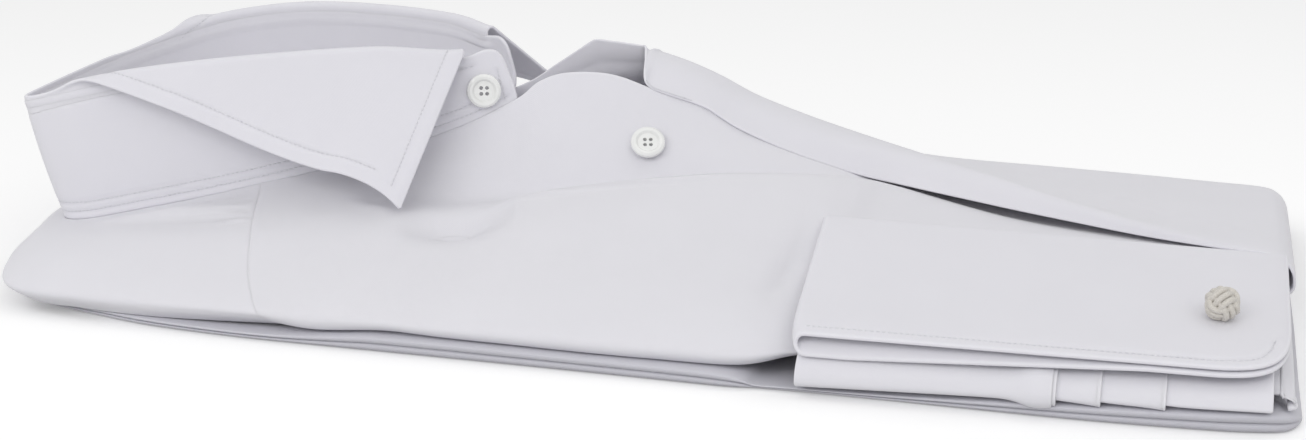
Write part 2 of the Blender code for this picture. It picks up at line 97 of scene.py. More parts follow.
soft_lamp("lamp_overhead", (0.30, 0.30, 1.30), (1.0, 0.9), 1.0, (0.0, 0.0, 0.0))
soft_lamp("lamp_front", (-0.25, -1.30, 0.75), (1.2, 0.7), 6.0, (0.0, 0.0, 0.03))
soft_lamp("lamp_side", (0.75, -0.95, 0.85), (0.8, 0.6), 2.0, (0.0, 0.0, 0.03))

sweep_mesh = bpy.data.meshes.new("sweep")
corners = [(x * SWEEP_HALF, y * SWEEP_HALF, 0.0) for x, y in ((-1, -1), (1, -1), (1, 1), (-1, 1))]
sweep_mesh.from_pydata(corners, [], [(0, 1, 2, 3)])
sweep = bpy.data.objects.new("sweep", sweep_mesh)
sweep.location.z = -SWEEP_GAP
bpy.context.scene.collection.objects.link(sweep)
paper = bpy.data.materials.new("white_paper")
paper.use_nodes = True
paper_shader = paper.node_tree.nodes["Principled BSDF"]
paper_white = paper.node_tree.nodes.new("ShaderNodeMix")
paper_white.data_type = "RGBA"
paper_white.inputs["A"].default_value = (0.60, 0.60, 0.60, 1.0)
paper_white.inputs["B"].default_value = (0.97, 0.97, 0.97, 1.0)
paper_ray = paper.node_tree.nodes.new("ShaderNodeLightPath")
paper.node_tree.links.new(paper_ray.outputs["Is Camera Ray"], paper_white.inputs["Factor"])
paper.node_tree.links.new(paper_white.outputs["Result"], paper_shader.inputs["Base Color"])
paper_shader.inputs["Roughness"].default_value = 1.0
paper_shader.inputs["Emission Color"].default_value = (1.0, 1.0, 1.0, 1.0)
paper_shader.inputs["Emission Strength"].default_value = SWEEP_GLOW
paper_shader.inputs["Specular IOR Level"].default_value = 0.0
sweep_mesh.materials.append(paper)

# ---------------------------------------------------------------------------------------------------------
# The folds on the surface and inside: the shirt's back, sides and tails, bleached cotton poplin folded under
# and over each other. Each pressed edge shows the plies of its fold. They lie loose, held by their creases.
# ---------------------------------------------------------------------------------------------------------
POPLIN_WHITE = (0.735, 0.728, 0.768, 1.0)
WEAVE_RELIEF = 0.6
LIGHT_REACH = 0.0010         # how far light scatters inside the cloth, so that it shines through
LOBE = 0.0016                # how far the round edge of a ply stands out
PLY_OFFSET = 0.0003
UNDERCUT = 0.0026            # how far the lowest ply lies in under the highest
PACKET_SHIFT = 0.0150        # the tables count x from the packet's middle between its shoulder and hem folds
HALF_WIDTH = 0.1175
CENTRE_BULGE = 0.031         # the shoulder fold lies this much further out at the centre back
# Columns: x, reach and thickness at the near side, reach and thickness at the far side.
LOWER_FOLD = [
    (-.1930, .0940, .0012, .1034, .0024), (-.1900, .1000, .0020, .1075, .0036),
    (-.1800, .1066, .0026, .1134, .0044), (-.1600, .1130, .0028, .1175, .0046),
    (-.1400, .1174, .0027, .1175, .0048), (-.1127, .1197, .0025, .1175, .0048),
    (-.0940, .1202, .0028, .1175, .0048), (-.0750, .1205, .0042, .1175, .0048),
    (-.0600, .1206, .0050, .1175, .0048), (-.0031, .1210, .0048, .1175, .0048),
    (.0300, .1215, .0046, .1175, .0048), (.0410, .1216, .0042, .1175, .0048),
    (.0470, .1208, .0030, .1175, .0048), (.0510, .1195, .0014, .1175, .0048),
    (.0611, .1192, .0015, .1175, .0048), (.0900, .1196, .0022, .1175, .0048),
    (.1374, .1205, .0042, .1175, .0048), (.1700, .1190, .0052, .1175, .0048),
    (.1811, .1177, .0056, .1175, .0048), (.1898, .1150, .0052, .1165, .0046),
    (.1935, .1100, .0036, .1140, .0036), (.1950, .1040, .0018, .1100, .0020),
]
# Columns: x, height at the brow, on the slope and along the middle.
INNER_FOLD = [
    (-0.1830, .0110, .0115, .0115), (-0.1750, .0138, .0156, .0161), (-0.1400, .0144, .0186, .0181),
    (-0.1000, .0146, .0211, .0211), (-0.0500, .0151, .0231, .0246), (0.0000, .0156, .0251, .0261),
    (0.0450, .0141, .0226, .0261), (0.0750, .0122, .0186, .0251), (0.1100, .0118, .0176, .0226),
    (0.1500, .0114, .0161, .0201), (0.1800, .0108, .0146, .0181), (0.1875, .0096, .0106, .0111),
]


def plain_weave_group():
    """Yarns and slubs of a plain weave, read from the cloth's own flat coordinates in metres."""
    group = bpy.data.node_groups.new("plain_weave", "ShaderNodeTree")
    for name, kind, start in (
        ("White", "NodeSocketColor", POPLIN_WHITE), ("Warps per cm", "NodeSocketFloat", 48.0),
        ("Wefts per cm", "NodeSocketFloat", 30.0), ("Yarn height", "NodeSocketFloat", 0.000025),
        ("Slub height", "NodeSocketFloat", 0.00004), ("Rumple height", "NodeSocketFloat", 0.0002),
    ):
        group.interface.new_socket(name=name, in_out="INPUT", socket_type=kind).default_value = start
    results = (("Color", "NodeSocketColor"), ("Roughness", "NodeSocketFloat"), ("Height", "NodeSocketFloat"))
    for name, kind in results:
        group.interface.new_socket(name=name, in_out="OUTPUT", socket_type=kind)
    nodes, links = group.nodes, group.links
    given = nodes.new("NodeGroupInput").outputs
    out = nodes.new("NodeGroupOutput").inputs
    flat = nodes.new("ShaderNodeAttribute")
    flat.attribute_name = "flat_cloth"
    split = nodes.new("ShaderNodeSeparateXYZ")
    links.new(flat.outputs["Vector"], split.inputs[0])

    def maths(operation, *values):
        node = nodes.new("ShaderNodeMath")
        node.operation = operation
        for socket, value in zip(node.inputs, values):
            if isinstance(value, float):
                socket.default_value = value
            else:
                links.new(value, socket)
        return node.outputs[0]

    def noise(scale, detail):
        node = nodes.new("ShaderNodeTexNoise")
        node.inputs["Scale"].default_value = scale
        node.inputs["Detail"].default_value = detail
        links.new(flat.outputs["Vector"], node.inputs["Vector"])
        return node.outputs["Fac"]

    def wave(across, threads):
        """A wave over the threads, of which the cloth holds so many per centimetre."""
        return maths("SINE", maths("MULTIPLY", maths("MULTIPLY", across, threads), 314.16))

    yarn = maths("MULTIPLY", wave(split.outputs["X"], given["Warps per cm"]),
                 wave(split.outputs["Y"], given["Wefts per cm"]))
    cloud = noise(38.0, 3.0)
    height = maths("ADD", maths("MULTIPLY", yarn, given["Yarn height"]),
                   maths("MULTIPLY", noise(700.0, 2.0), given["Slub height"]))
    links.new(maths("ADD", height, maths("MULTIPLY", cloud, given["Rumple height"])), out["Height"])
    shade = maths("ADD", maths("ADD", maths("MULTIPLY", cloud, 0.03), 0.985), maths("MULTIPLY", yarn, 0.006))
    grey = nodes.new("ShaderNodeCombineColor")
    for channel in grey.inputs:
        links.new(shade, channel)
    tint = nodes.new("ShaderNodeMix")
    tint.data_type = "RGBA"
    tint.blend_type = "MULTIPLY"
    tint.inputs["Factor"].default_value = 1.0
    links.new(given["White"], tint.inputs["A"])
    links.new(grey.outputs[0], tint.inputs["B"])
    links.new(tint.outputs["Result"], out["Color"])
    links.new(maths("ADD", maths("MULTIPLY", cloud, 0.10), 0.62), out["Roughness"])
    return group


plain_weave = plain_weave_group()


def cloth_finish(name, white, yarn, slub, rumple, sheen):
    """A finish of woven cotton: the weave's colour and height, and a faint sheen."""
    made = bpy.data.materials.new(name)
    made.use_nodes = True
    nodes, links = made.node_tree.nodes, made.node_tree.links
    shader = nodes["Principled BSDF"]
    weave = nodes.new("ShaderNodeGroup")
    weave.node_tree = plain_weave
    weave.inputs["White"].default_value = white
    weave.inputs["Yarn height"].default_value = yarn
    weave.inputs["Slub height"].default_value = slub
    weave.inputs["Rumple height"].default_value = rumple
    links.new(weave.outputs["Color"], shader.inputs["Base Color"])
    links.new(weave.outputs["Roughness"], shader.inputs["Roughness"])
    bump = nodes.new("ShaderNodeBump")
    bump.inputs["Strength"].default_value = WEAVE_RELIEF
    bump.inputs["Distance"].default_value = 1.0
    links.new(weave.outputs["Height"], bump.inputs["Height"])
    links.new(bump.outputs["Normal"], shader.inputs["Normal"])
    shader.inputs["Specular IOR Level"].default_value = 0.2
    shader.inputs["Subsurface Weight"].default_value = 0.6
    shader.inputs["Subsurface Radius"].default_value = (1.0, 1.0, 1.0)
    shader.inputs["Subsurface Scale"].default_value = LIGHT_REACH
    shader.inputs["Sheen Weight"].default_value = sheen
    shader.inputs["Sheen Roughness"].default_value = 0.45
    shader.inputs["Sheen Tint"].default_value = (0.95, 0.95, 1.0, 1.0)
    return made


poplin = cloth_finish("poplin", POPLIN_WHITE, 0.000020, 0.00003, 0.0003, 0.06)


def put_in_scene(name, points, faces, finish, flat=None):
    """A smooth closed piece that rides with the shirt, with its cloth's flat coordinates."""
    mesh = bpy.data.meshes.new(name)
    mesh.from_pydata(np.asarray(points).tolist(), [], faces)
    shape = bmesh.new()
    shape.from_mesh(mesh)
    bmesh.ops.recalc_face_normals(shape, faces=shape.faces[:])
    shape.to_mesh(mesh)
    shape.free()
    if flat is not None:
        attribute = mesh.attributes.new("flat_cloth", "FLOAT_VECTOR", "POINT")
        attribute.data.foreach_set("vector", np.asarray(flat, np.float32).ravel())
    mesh.shade_smooth()
    mesh.materials.append(finish)
    piece = bpy.data.objects.new(name, mesh)
    bpy.context.scene.collection.objects.link(piece)
    piece.location.x = PACKET_SHIFT
    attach(piece, "root")
    return piece


def spline_weights(count, places):
    """One row of weights over a list's entries for each place on a smooth curve through them."""
    weights = np.zeros((len(places), count))
    for row, place in enumerate(places):
        low = min(int(place), count - 2)
        part = place - low
        rise = 3 * part**2 - 2 * part**3
        slope_in = (part**3 - 2 * part**2 + part) / 2
        slope_out = (part**3 - part**2) / 2
        weights[row, low] += 1 - rise - slope_out
        weights[row, low + 1] += rise + slope_in
        weights[row, max(low - 1, 0)] -= slope_in
        weights[row, min(low + 2, count - 1)] += slope_out
    return weights


def even_places(count, steps):
    """Places along a list of so many entries, with a number of steps to each span."""
    return np.linspace(0.0, count - 1.0, (count - 1) * steps + 1)


def smooth_line(points, steps):
    points = np.asarray(points, float)
    return spline_weights(len(points), even_places(len(points), steps)) @ points


def smooth_grid(points, along, across):
    """A fine grid of points through a coarse one; along and across are steps to a span, or places."""
    points = np.asarray(points, float)
    rows, columns = points.shape[:2]
    along = even_places(rows, along) if np.isscalar(along) else along
    across = even_places(columns, across) if np.isscalar(across) else across
    return np.einsum("ai,ijk,bj->abk", spline_weights(rows, along), points, spline_weights(columns, across))


def loft(name, sections, finish):
    """A closed solid through closed sections of equal counts, capped at both ends."""
    sections = np.asarray(sections)
    count, around = sections.shape[:2]
    index = np.arange(count * around).reshape(count, around)
    turned = np.roll(index, -1, axis=1)
    sides = np.stack([index[:-1], turned[:-1], turned[1:], index[1:]], axis=2).reshape(-1, 4).tolist()
    centres = np.array([sections[0].mean(axis=0), sections[-1].mean(axis=0)])
    caps = [(count * around, int(a), int(b)) for a, b in zip(index[0], turned[0])]
    caps += [(count * around + 1, int(b), int(a)) for a, b in zip(index[-1], turned[-1])]
    points = np.concatenate([sections.reshape(-1, 3), centres])
    return put_in_scene(name, points, sides + caps, finish, points)


def shoulder_bulge(y, x):
    """How much further out the shoulder fold lies towards the centre back."""
    fade = np.clip((-0.10 - x) / 0.095, 0.0, 1.0)
    return -CENTRE_BULGE * (1.0 - (y / HALF_WIDTH) ** 2) * fade**2


def plied_edge(reach, height, plies, direction):
    """The profile of a pressed fold's edge, a round lobe for each of its plies, from the bottom up."""
    profile = []
    for ply in range(plies):
        for turn in (-80, -50, -20, 10, 40, 70):
            angle = math.radians(turn)
            level = (ply + 0.5 + 0.5 * math.sin(angle)) / plies
            drawn_in = LOBE * (1.0 - math.cos(angle)) + PLY_OFFSET * (ply % 2) + UNDERCUT * (1.0 - level)
            profile.append((direction * (reach - drawn_in), height * level))
    return profile


# Painted shade: the plies under the packet get a darker copy of the white poplin, standing in for the shade
# they lie in.
PAINTED_SHADE_WHITE = (0.560, 0.555, 0.600, 1.0)    # the plies under the packet lie in its shade
painted_shade_poplin = cloth_finish("painted_shade_poplin", PAINTED_SHADE_WHITE, 0.000020, 0.00003, 0.0003, 0.06)
lower_sections = []
for x, reach_near, near, reach_far, far in smooth_line(LOWER_FOLD, 4):
    section = plied_edge(reach_far, far, 3, 1.0)
    section += [(reach_far * 0.75, far), (0.0400, (far + 0.0048) / 2), (-0.0300, 0.0040)]
    section += [(-reach_near * 0.72, near)] + plied_edge(reach_near, near, 2, -1.0)[::-1] + [(0.0, 0.0)]
    lower_sections.append([(x + shoulder_bulge(y, x), y, z) for y, z in section])
# The lower folds wear the darker poplin, which is painted shade, not a different cloth.
lower_folds = loft("lower_folds", lower_sections, painted_shade_poplin)
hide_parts("hidden_folds")

inner_sections = []
for x, brow, slope, middle in smooth_line(INNER_FOLD, 4):
    section = [
        (0.1020, 0.0052), (0.1050, 0.0060), (0.1055, brow - 0.0050), (0.1000, brow), (0.0780, slope),
        (0.0400, middle), (0.0000, middle), (-0.0400, middle), (-0.0700, slope), (-0.0930, brow),
        (-0.0985, brow - 0.0045), (-0.0985, 0.0062), (-0.0960, 0.0052), (0.0, 0.0050),
    ]
    inner_sections.append([(x + shoulder_bulge(y, x), y, z) for y, z in section])
inner_folds = loft("inner_folds", inner_sections, poplin)

# ---------------------------------------------------------------------------------------------------------
# The right front: a panel of poplin from the shoulder seam to the fold at the hem. Its front edge stands up
# by the collar, dips into a trough, and a pressed fold runs along it before it rounds the side.
# ---------------------------------------------------------------------------------------------------------
PLY = 0.0006
SEAM_GAP = 0.0003
# Columns: x at the front edge, x at the side fold, then y and z of the edge, face, valley, ridge, slope,
# brow, side, turn and lip. The seam above them is a line of such points.
RIGHT_SHOULDER_SEAM = [
    (-.1330, -.0578, .0335), (-.1305, -.0640, .0312), (-.1277, -.0720, .0286), (-.1245, -.0800, .0264),
    (-.1205, -.0888, .0240), (-.1137, -.1035, .0173), (-.1045, -.1170, .0100), (-.1018, -.1168, .0065),
    (-.0985, -.1110, .0035),
]
RIGHT_FRONT = [
    (-.1080, -.0890, -.0483, .0392, -.0530, .0357, -.0600, .0320, -.0700, .0288,
     -.0860, .0247, -.1045, .0172, -.1176, .0100, -.1170, .0052, -.1110, .0038),
    (-.0950, -.0800, -.0427, .0430, -.0470, .0377, -.0545, .0310, -.0670, .0287,
     -.0855, .0243, -.1045, .0173, -.1176, .0101, -.1170, .0050, -.1105, .0048),
    (-.0720, -.0620, -.0325, .0512, -.0375, .0420, -.0455, .0302, -.0610, .0290,
     -.0830, .0245, -.1040, .0175, -.1177, .0104, -.1168, .0064, -.1100, .0056),
    (-.0550, -.0500, -.0245, .0597, -.0310, .0475, -.0420, .0312, -.0590, .0316,
     -.0820, .0250, -.1040, .0176, -.1177, .0104, -.1168, .0062, -.1100, .0056),
    (-.0480, -.0450, -.0200, .0655, -.0285, .0512, -.0405, .0318, -.0570, .0330,
     -.0810, .0258, -.1040, .0178, -.1177, .0104, -.1168, .0060, -.1100, .0056),
    (-.0391, -.0391, -.0170, .0683, -.0262, .0520, -.0390, .0320, -.0545, .0348,
     -.0805, .0268, -.1040, .0180, -.1177, .0104, -.1168, .0059, -.1100, .0056),
    (-.0250, -.0250, -.0125, .0676, -.0230, .0500, -.0370, .0322, -.0515, .0366,
     -.0795, .0278, -.1040, .0182, -.1177, .0104, -.1168, .0058, -.1100, .0056),
    (-.0100, -.0100, -.0098, .0624, -.0200, .0470, -.0345, .0325, -.0475, .0384,
     -.0780, .0286, -.1040, .0183, -.1177, .0104, -.1168, .0056, -.1100, .0056),
    (.0050, .0050, -.0065, .0575, -.0175, .0445, -.0305, .0332, -.0435, .0397,
     -.0755, .0293, -.1035, .0184, -.1176, .0104, -.1168, .0055, -.1098, .0056),
    (.0200, .0200, -.0035, .0500, -.0140, .0422, -.0260, .0340, -.0380, .0407,
     -.0725, .0297, -.1030, .0184, -.1172, .0103, -.1162, .0054, -.1095, .0056),
    (.0450, .0450, .0010, .0412, -.0080, .0384, -.0165, .0350, -.0275, .0406,
     -.0670, .0272, -.1020, .0174, -.1160, .0102, -.1150, .0056, -.1088, .0058),
    (.0600, .0600, .0035, .0370, -.0030, .0355, -.0100, .0340, -.0195, .0384,
     -.0630, .0255, -.1000, .0158, -.1120, .0106, -.1100, .0082, -.1050, .0076),
    (.0750, .0700, .0060, .0325, .0000, .0323, -.0060, .0322, -.0140, .0345,
     -.0600, .0240, -.0975, .0148, -.1098, .0108, -.1080, .0088, -.1030, .0082),
    (.1100, .1100, .0080, .0268, .0000, .0268, -.0080, .0269, -.0200, .0280,
     -.0580, .0230, -.0970, .0146, -.1095, .0106, -.1078, .0088, -.1030, .0084),
    (.1500, .1500, .0080, .0240, .0000, .0240, -.0080, .0240, -.0250, .0240,
     -.0600, .0210, -.0970, .0143, -.1095, .0106, -.1078, .0088, -.1030, .0084),
    (.1860, .1860, .0080, .0222, .0000, .0222, -.0080, .0222, -.0250, .0220,
     -.0600, .0196, -.0970, .0138, -.1095, .0106, -.1078, .0088, -.1030, .0084),
]
# The ends of both fronts roll down over the hem fold: how far along x, and how much of the height above the
# roll's floor is left.
END_ROLL_FLOOR = 0.0040
END_ROLL = [(0.1915, 0.90), (0.1945, 0.70), (0.1950, 0.48), (0.1935, 0.36)]
RIGHT_END_INSET = 0.0024
PANEL_ALONG, PANEL_ACROSS = 10, 14
# Each crease: its width, and a line of places with columns x, y and height.
RIGHT_CREASES = [
    (.0016, [(-.062, -.0610, .0000), (-.045, -.0575, .0010), (-.020, -.0500, .0017), (.010, -.0408, .0017),
             (.036, -.0300, .0008), (.052, -.0225, .0000)]),
    (.0090, [(-.078, -.0700, .0000), (-.066, -.0700, -.0050), (-.055, -.0690, -.0062),
             (-.040, -.0640, .0000)]),
    (.0035, [(-.100, -.0620, .0000), (-.088, -.0640, .0010), (-.078, -.0690, .0000)]),
    (.0100, [(-.090, -.0780, .0000), (-.050, -.0760, .0006), (.000, -.0700, .0000)]),
    (.0090, [(-.060, -.0930, .0000), (-.010, -.0900, -.0004), (.040, -.0860, .0000)]),
    (.0060, [(-.010, -.0570, .0000), (.020, -.0520, -.0004), (.048, -.0440, .0000)]),
    (.0040, [(.046, -.0980, .0000), (.050, -.0800, -.0018), (.051, -.0560, -.0010), (.050, -.0400, .0000)]),
    (.0070, [(-.100, -.0960, .0000), (-.080, -.0900, -.0005), (-.060, -.0880, .0000)]),
]


def grid_normals(grid, side):
    """Unit normals of a grid of points; side is 1 or -1, so that they point out of the cloth's face."""
    normals = np.cross(np.gradient(grid, axis=0), np.gradient(grid, axis=1)) * side
    return normals / np.maximum(np.linalg.norm(normals, axis=2, keepdims=True), 1e-12)


def with_creases(grid, side, creases):
    """Raises soft ridges and sinks soft troughs along lines over the cloth, seen from above."""
    lift = np.zeros(grid.shape[:2])
    for width, line in creases:
        path = smooth_line(line, 8)
        best = np.full(grid.shape[:2], np.inf)
        height = np.zeros(grid.shape[:2])
        for start, end in zip(path, path[1:]):
            run = end[:2] - start[:2]
            share = np.clip((grid[:, :, :2] - start[:2]) @ run / (run @ run), 0.0, 1.0)
            gap = np.linalg.norm(grid[:, :, :2] - start[:2] - share[:, :, None] * run, axis=2)
            nearer = gap < best
            best = np.where(nearer, gap, best)
            height = np.where(nearer, start[2] + (end[2] - start[2]) * share, height)
        lift += height * np.exp(-((best / width) ** 2))
    return grid + grid_normals(grid, side) * lift[:, :, None]


def cloth_shell(name, grid, thick, side, finish):
    """A closed wall of cloth under a grid of points on its face, with rounded edges."""
    rim_steps = 3
    rows, columns = grid.shape[:2]
    normals = grid_normals(grid, side)
    index = np.arange(rows * columns).reshape(rows, columns)
    edges = [(0, j) for j in range(columns)] + [(i, columns - 1) for i in range(1, rows)]
    edges += [(rows - 1, j) for j in range(columns - 2, -1, -1)] + [(i, 0) for i in range(rows - 2, 0, -1)]
    at, of = np.array(edges).T
    edge, face = grid[at, of], normals[at, of]
    away = np.cross(np.roll(edge, -1, axis=0) - np.roll(edge, 1, axis=0), face)
    away /= np.maximum(np.linalg.norm(away, axis=1, keepdims=True), 1e-12)
    inside = grid[np.clip(at, 1, rows - 2), np.clip(of, 1, columns - 2)]
    away *= np.where(np.sum((edge - inside) * away, axis=1) < 0.0, -1.0, 1.0)[:, None]
    points = [grid.reshape(-1, 3), (grid - normals * thick).reshape(-1, 3)]
    for step in range(1, rim_steps + 1):
        angle = math.pi / 2 - math.pi * step / (rim_steps + 1)
        points.append(edge - face * thick / 2 + (away * math.cos(angle) + face * math.sin(angle)) * thick / 2)
    quads = np.stack([index[:-1, :-1], index[1:, :-1], index[1:, 1:], index[:-1, 1:]], axis=2).reshape(-1, 4)
    faces = quads.tolist() + (quads[:, ::-1] + rows * columns).tolist()
    count = len(edges)
    rings = [index[at, of]]
    rings += [2 * rows * columns + step * count + np.arange(count) for step in range(rim_steps)]
    rings.append(index[at, of] + rows * columns)
    for upper, lower in zip(rings, rings[1:]):
        faces += np.stack([upper, lower, np.roll(lower, -1), np.roll(upper, -1)], axis=1).tolist()
    down = np.linalg.norm(np.diff(grid, axis=0), axis=2).mean(axis=1)
    over = np.cumsum(np.linalg.norm(np.diff(grid, axis=1), axis=2), axis=1)
    flat = np.zeros((rows, columns, 3))
    flat[1:, :, 0] = np.cumsum(down)[:, None]
    flat[:, 1:, 1] = over
    flats = [flat.reshape(-1, 3)] * 2 + [flat[at, of]] * rim_steps
    return put_in_scene(name, np.concatenate(points), faces, finish, np.concatenate(flats))


def panel_grid(seam, table, end_inset):
    """A front as a grid: the shoulder seam, each row's points across it, the roll over the hem fold."""
    sections = [np.array(seam)]
    for row in table:
        pairs = np.reshape(row[2:], (-1, 2))
        x = np.linspace(row[0], row[1], len(pairs))
        sections.append(np.column_stack([x, pairs]))
    last = sections[-1]
    for x, share in END_ROLL:
        height = END_ROLL_FLOOR + (last[:, 2] - END_ROLL_FLOOR) * share
        sections.append(np.column_stack([np.full(len(last), x - end_inset), last[:, 1], height]))
    return smooth_grid(sections, PANEL_ALONG, PANEL_ACROSS)


right_grid = panel_grid(RIGHT_SHOULDER_SEAM, RIGHT_FRONT, RIGHT_END_INSET)
right_grid = with_creases(right_grid, -1, RIGHT_CREASES)
right_front = cloth_shell("right_front_cloth", right_grid, PLY, -1, poplin)
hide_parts("right_front")

# ---------------------------------------------------------------------------------------------------------
# The left front, with its placket folded from the same poplin, so that no seam shows. By the collar it stands
# up open and shows its inner face, turns at a crease, then comes down to lie across the right front.
# ---------------------------------------------------------------------------------------------------------
LEFT_THICK = 0.0009
LEFT_SHOULDER_SEAM = [
    (-.1060, .0400, .0424), (-.1055, .0440, .0405), (-.1048, .0500, .0385), (-.1040, .0640, .0330),
    (-.1028, .0850, .0260), (-.1015, .1050, .0170), (-.1002, .1178, .0102), (-.0995, .1170, .0060),
    (-.0985, .1105, .0050),
]
# Columns: x at the free edge, x at the side fold, then y and z of the free edge, middle, crest, fall, slope,
# brow, side, turn and lip. The seam above them is a line of such points.
LEFT_FRONT = [
    (-.0850, -.0820, .0285, .0503, .0325, .0480, .0390, .0440, .0540, .0365,
     .0810, .0278, .1045, .0174, .1177, .0104, .1168, .0062, .1100, .0056),
    (-.0651, -.0651, .0180, .0586, .0195, .0540, .0240, .0480, .0480, .0400,
     .0780, .0290, .1040, .0178, .1177, .0104, .1168, .0062, .1100, .0056),
    (-.0549, -.0549, .0140, .0651, .0155, .0595, .0205, .0520, .0480, .0412,
     .0780, .0300, .1040, .0180, .1177, .0104, .1168, .0062, .1100, .0056),
    (-.0467, -.0467, .0120, .0704, .0135, .0640, .0190, .0550, .0480, .0425,
     .0780, .0303, .1040, .0181, .1177, .0104, .1168, .0062, .1100, .0056),
    (-.0395, -.0395, .0102, .0751, .0120, .0680, .0180, .0580, .0480, .0435,
     .0780, .0305, .1040, .0182, .1177, .0104, .1168, .0062, .1100, .0056),
    (-.0372, -.0372, .0099, .0758, .0118, .0688, .0178, .0588, .0480, .0438,
     .0780, .0306, .1040, .0182, .1177, .0104, .1168, .0062, .1100, .0056),
    (-.0335, -.0335, .0096, .0756, .0116, .0690, .0178, .0592, .0480, .0442,
     .0780, .0308, .1040, .0182, .1177, .0104, .1168, .0062, .1100, .0056),
    (-.0220, -.0220, .0080, .0749, .0106, .0695, .0180, .0615, .0480, .0455,
     .0780, .0310, .1040, .0183, .1177, .0104, .1168, .0062, .1100, .0056),
    (-.0191, -.0191, .0070, .0747, .0112, .0712, .0192, .0638, .0480, .0462,
     .0780, .0310, .1040, .0183, .1177, .0104, .1168, .0062, .1100, .0056),
    (-.0172, -.0172, .0010, .0722, .0100, .0736, .0220, .0682, .0480, .0475,
     .0780, .0310, .1040, .0183, .1177, .0104, .1168, .0062, .1100, .0056),
    (-.0150, -.0150, -.0075, .0682, .0060, .0726, .0200, .0688, .0480, .0475,
     .0780, .0310, .1040, .0183, .1177, .0104, .1168, .0062, .1100, .0056),
    (-.0125, -.0125, -.0100, .0642, .0035, .0713, .0190, .0690, .0480, .0475,
     .0780, .0310, .1040, .0183, .1177, .0104, .1168, .0062, .1100, .0056),
    (-.0040, -.0040, -.0092, .0613, .0030, .0686, .0185, .0668, .0480, .0470,
     .0780, .0308, .1040, .0183, .1177, .0104, .1168, .0062, .1100, .0056),
    (.0060, .0060, -.0072, .0578, .0035, .0642, .0183, .0632, .0480, .0462,
     .0780, .0305, .1040, .0183, .1177, .0104, .1168, .0062, .1100, .0056),
    (.0181, .0181, -.0060, .0507, .0040, .0578, .0188, .0575, .0480, .0440,
     .0780, .0300, .1040, .0182, .1177, .0104, .1168, .0062, .1100, .0056),
    (.0370, .0370, -.0038, .0430, .0042, .0505, .0195, .0510, .0480, .0405,
     .0780, .0295, .1040, .0180, .1177, .0104, .1168, .0062, .1100, .0056),
    (.0570, .0570, -.0030, .0374, .0042, .0452, .0185, .0455, .0480, .0362,
     .0780, .0285, .1040, .0178, .1177, .0104, .1168, .0062, .1100, .0056),
    (.0780, .0780, -.0095, .0356, .0010, .0430, .0180, .0400, .0480, .0325,
     .0780, .0272, .1040, .0175, .1177, .0104, .1168, .0062, .1100, .0056),
    (.0950, .0950, -.0115, .0334, -.0020, .0403, .0150, .0355, .0480, .0305,
     .0780, .0266, .1040, .0173, .1177, .0104, .1168, .0062, .1100, .0056),
    (.1100, .1100, -.0130, .0314, -.0055, .0373, .0115, .0325, .0480, .0293,
     .0780, .0262, .1040, .0172, .1177, .0104, .1168, .0062, .1100, .0056),
    (.1300, .1300, -.0140, .0288, -.0085, .0328, .0080, .0298, .0480, .0277,
     .0780, .0256, .1040, .0170, .1177, .0104, .1168, .0062, .1100, .0056),
    (.1500, .1500, -.0152, .0264, -.0113, .0291, .0055, .0274, .0480, .0266,
     .0780, .0250, .1040, .0168, .1177, .0104, .1168, .0062, .1100, .0056),
    (.1700, .1700, -.0165, .0249, -.0125, .0262, .0050, .0260, .0480, .0255,
     .0780, .0242, .1040, .0166, .1177, .0104, .1168, .0062, .1100, .0056),
    (.1860, .1860, -.0180, .0242, -.0120, .0247, .0060, .0248, .0480, .0245,
     .0780, .0234, .1040, .0164, .1177, .0104, .1168, .0062, .1100, .0056),
]
LEFT_CREASES = [
    (.0100, [(-.070, .060, .0000), (-.030, .066, .0008), (.020, .070, .0000)]),
    (.0080, [(-.020, .090, .0000), (.030, .094, -.0007), (.080, .090, .0000)]),
    (.0110, [(.060, .060, .0000), (.110, .066, .0005), (.160, .072, .0000)]),
    (.0009, [(.120, .036, .0000), (.140, .026, .0005), (.165, .012, .0005), (.186, -.002, .0003)]),
    (.0070, [(-.090, .080, .0000), (-.070, .090, -.0008), (-.040, .095, .0000)]),
]

left_grid = panel_grid(LEFT_SHOULDER_SEAM, LEFT_FRONT, 0.0)
left_grid = with_creases(left_grid, 1, LEFT_CREASES)
left_front = cloth_shell("left_front_cloth", left_grid, LEFT_THICK, 1, poplin)
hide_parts("left_front", "left_placket")


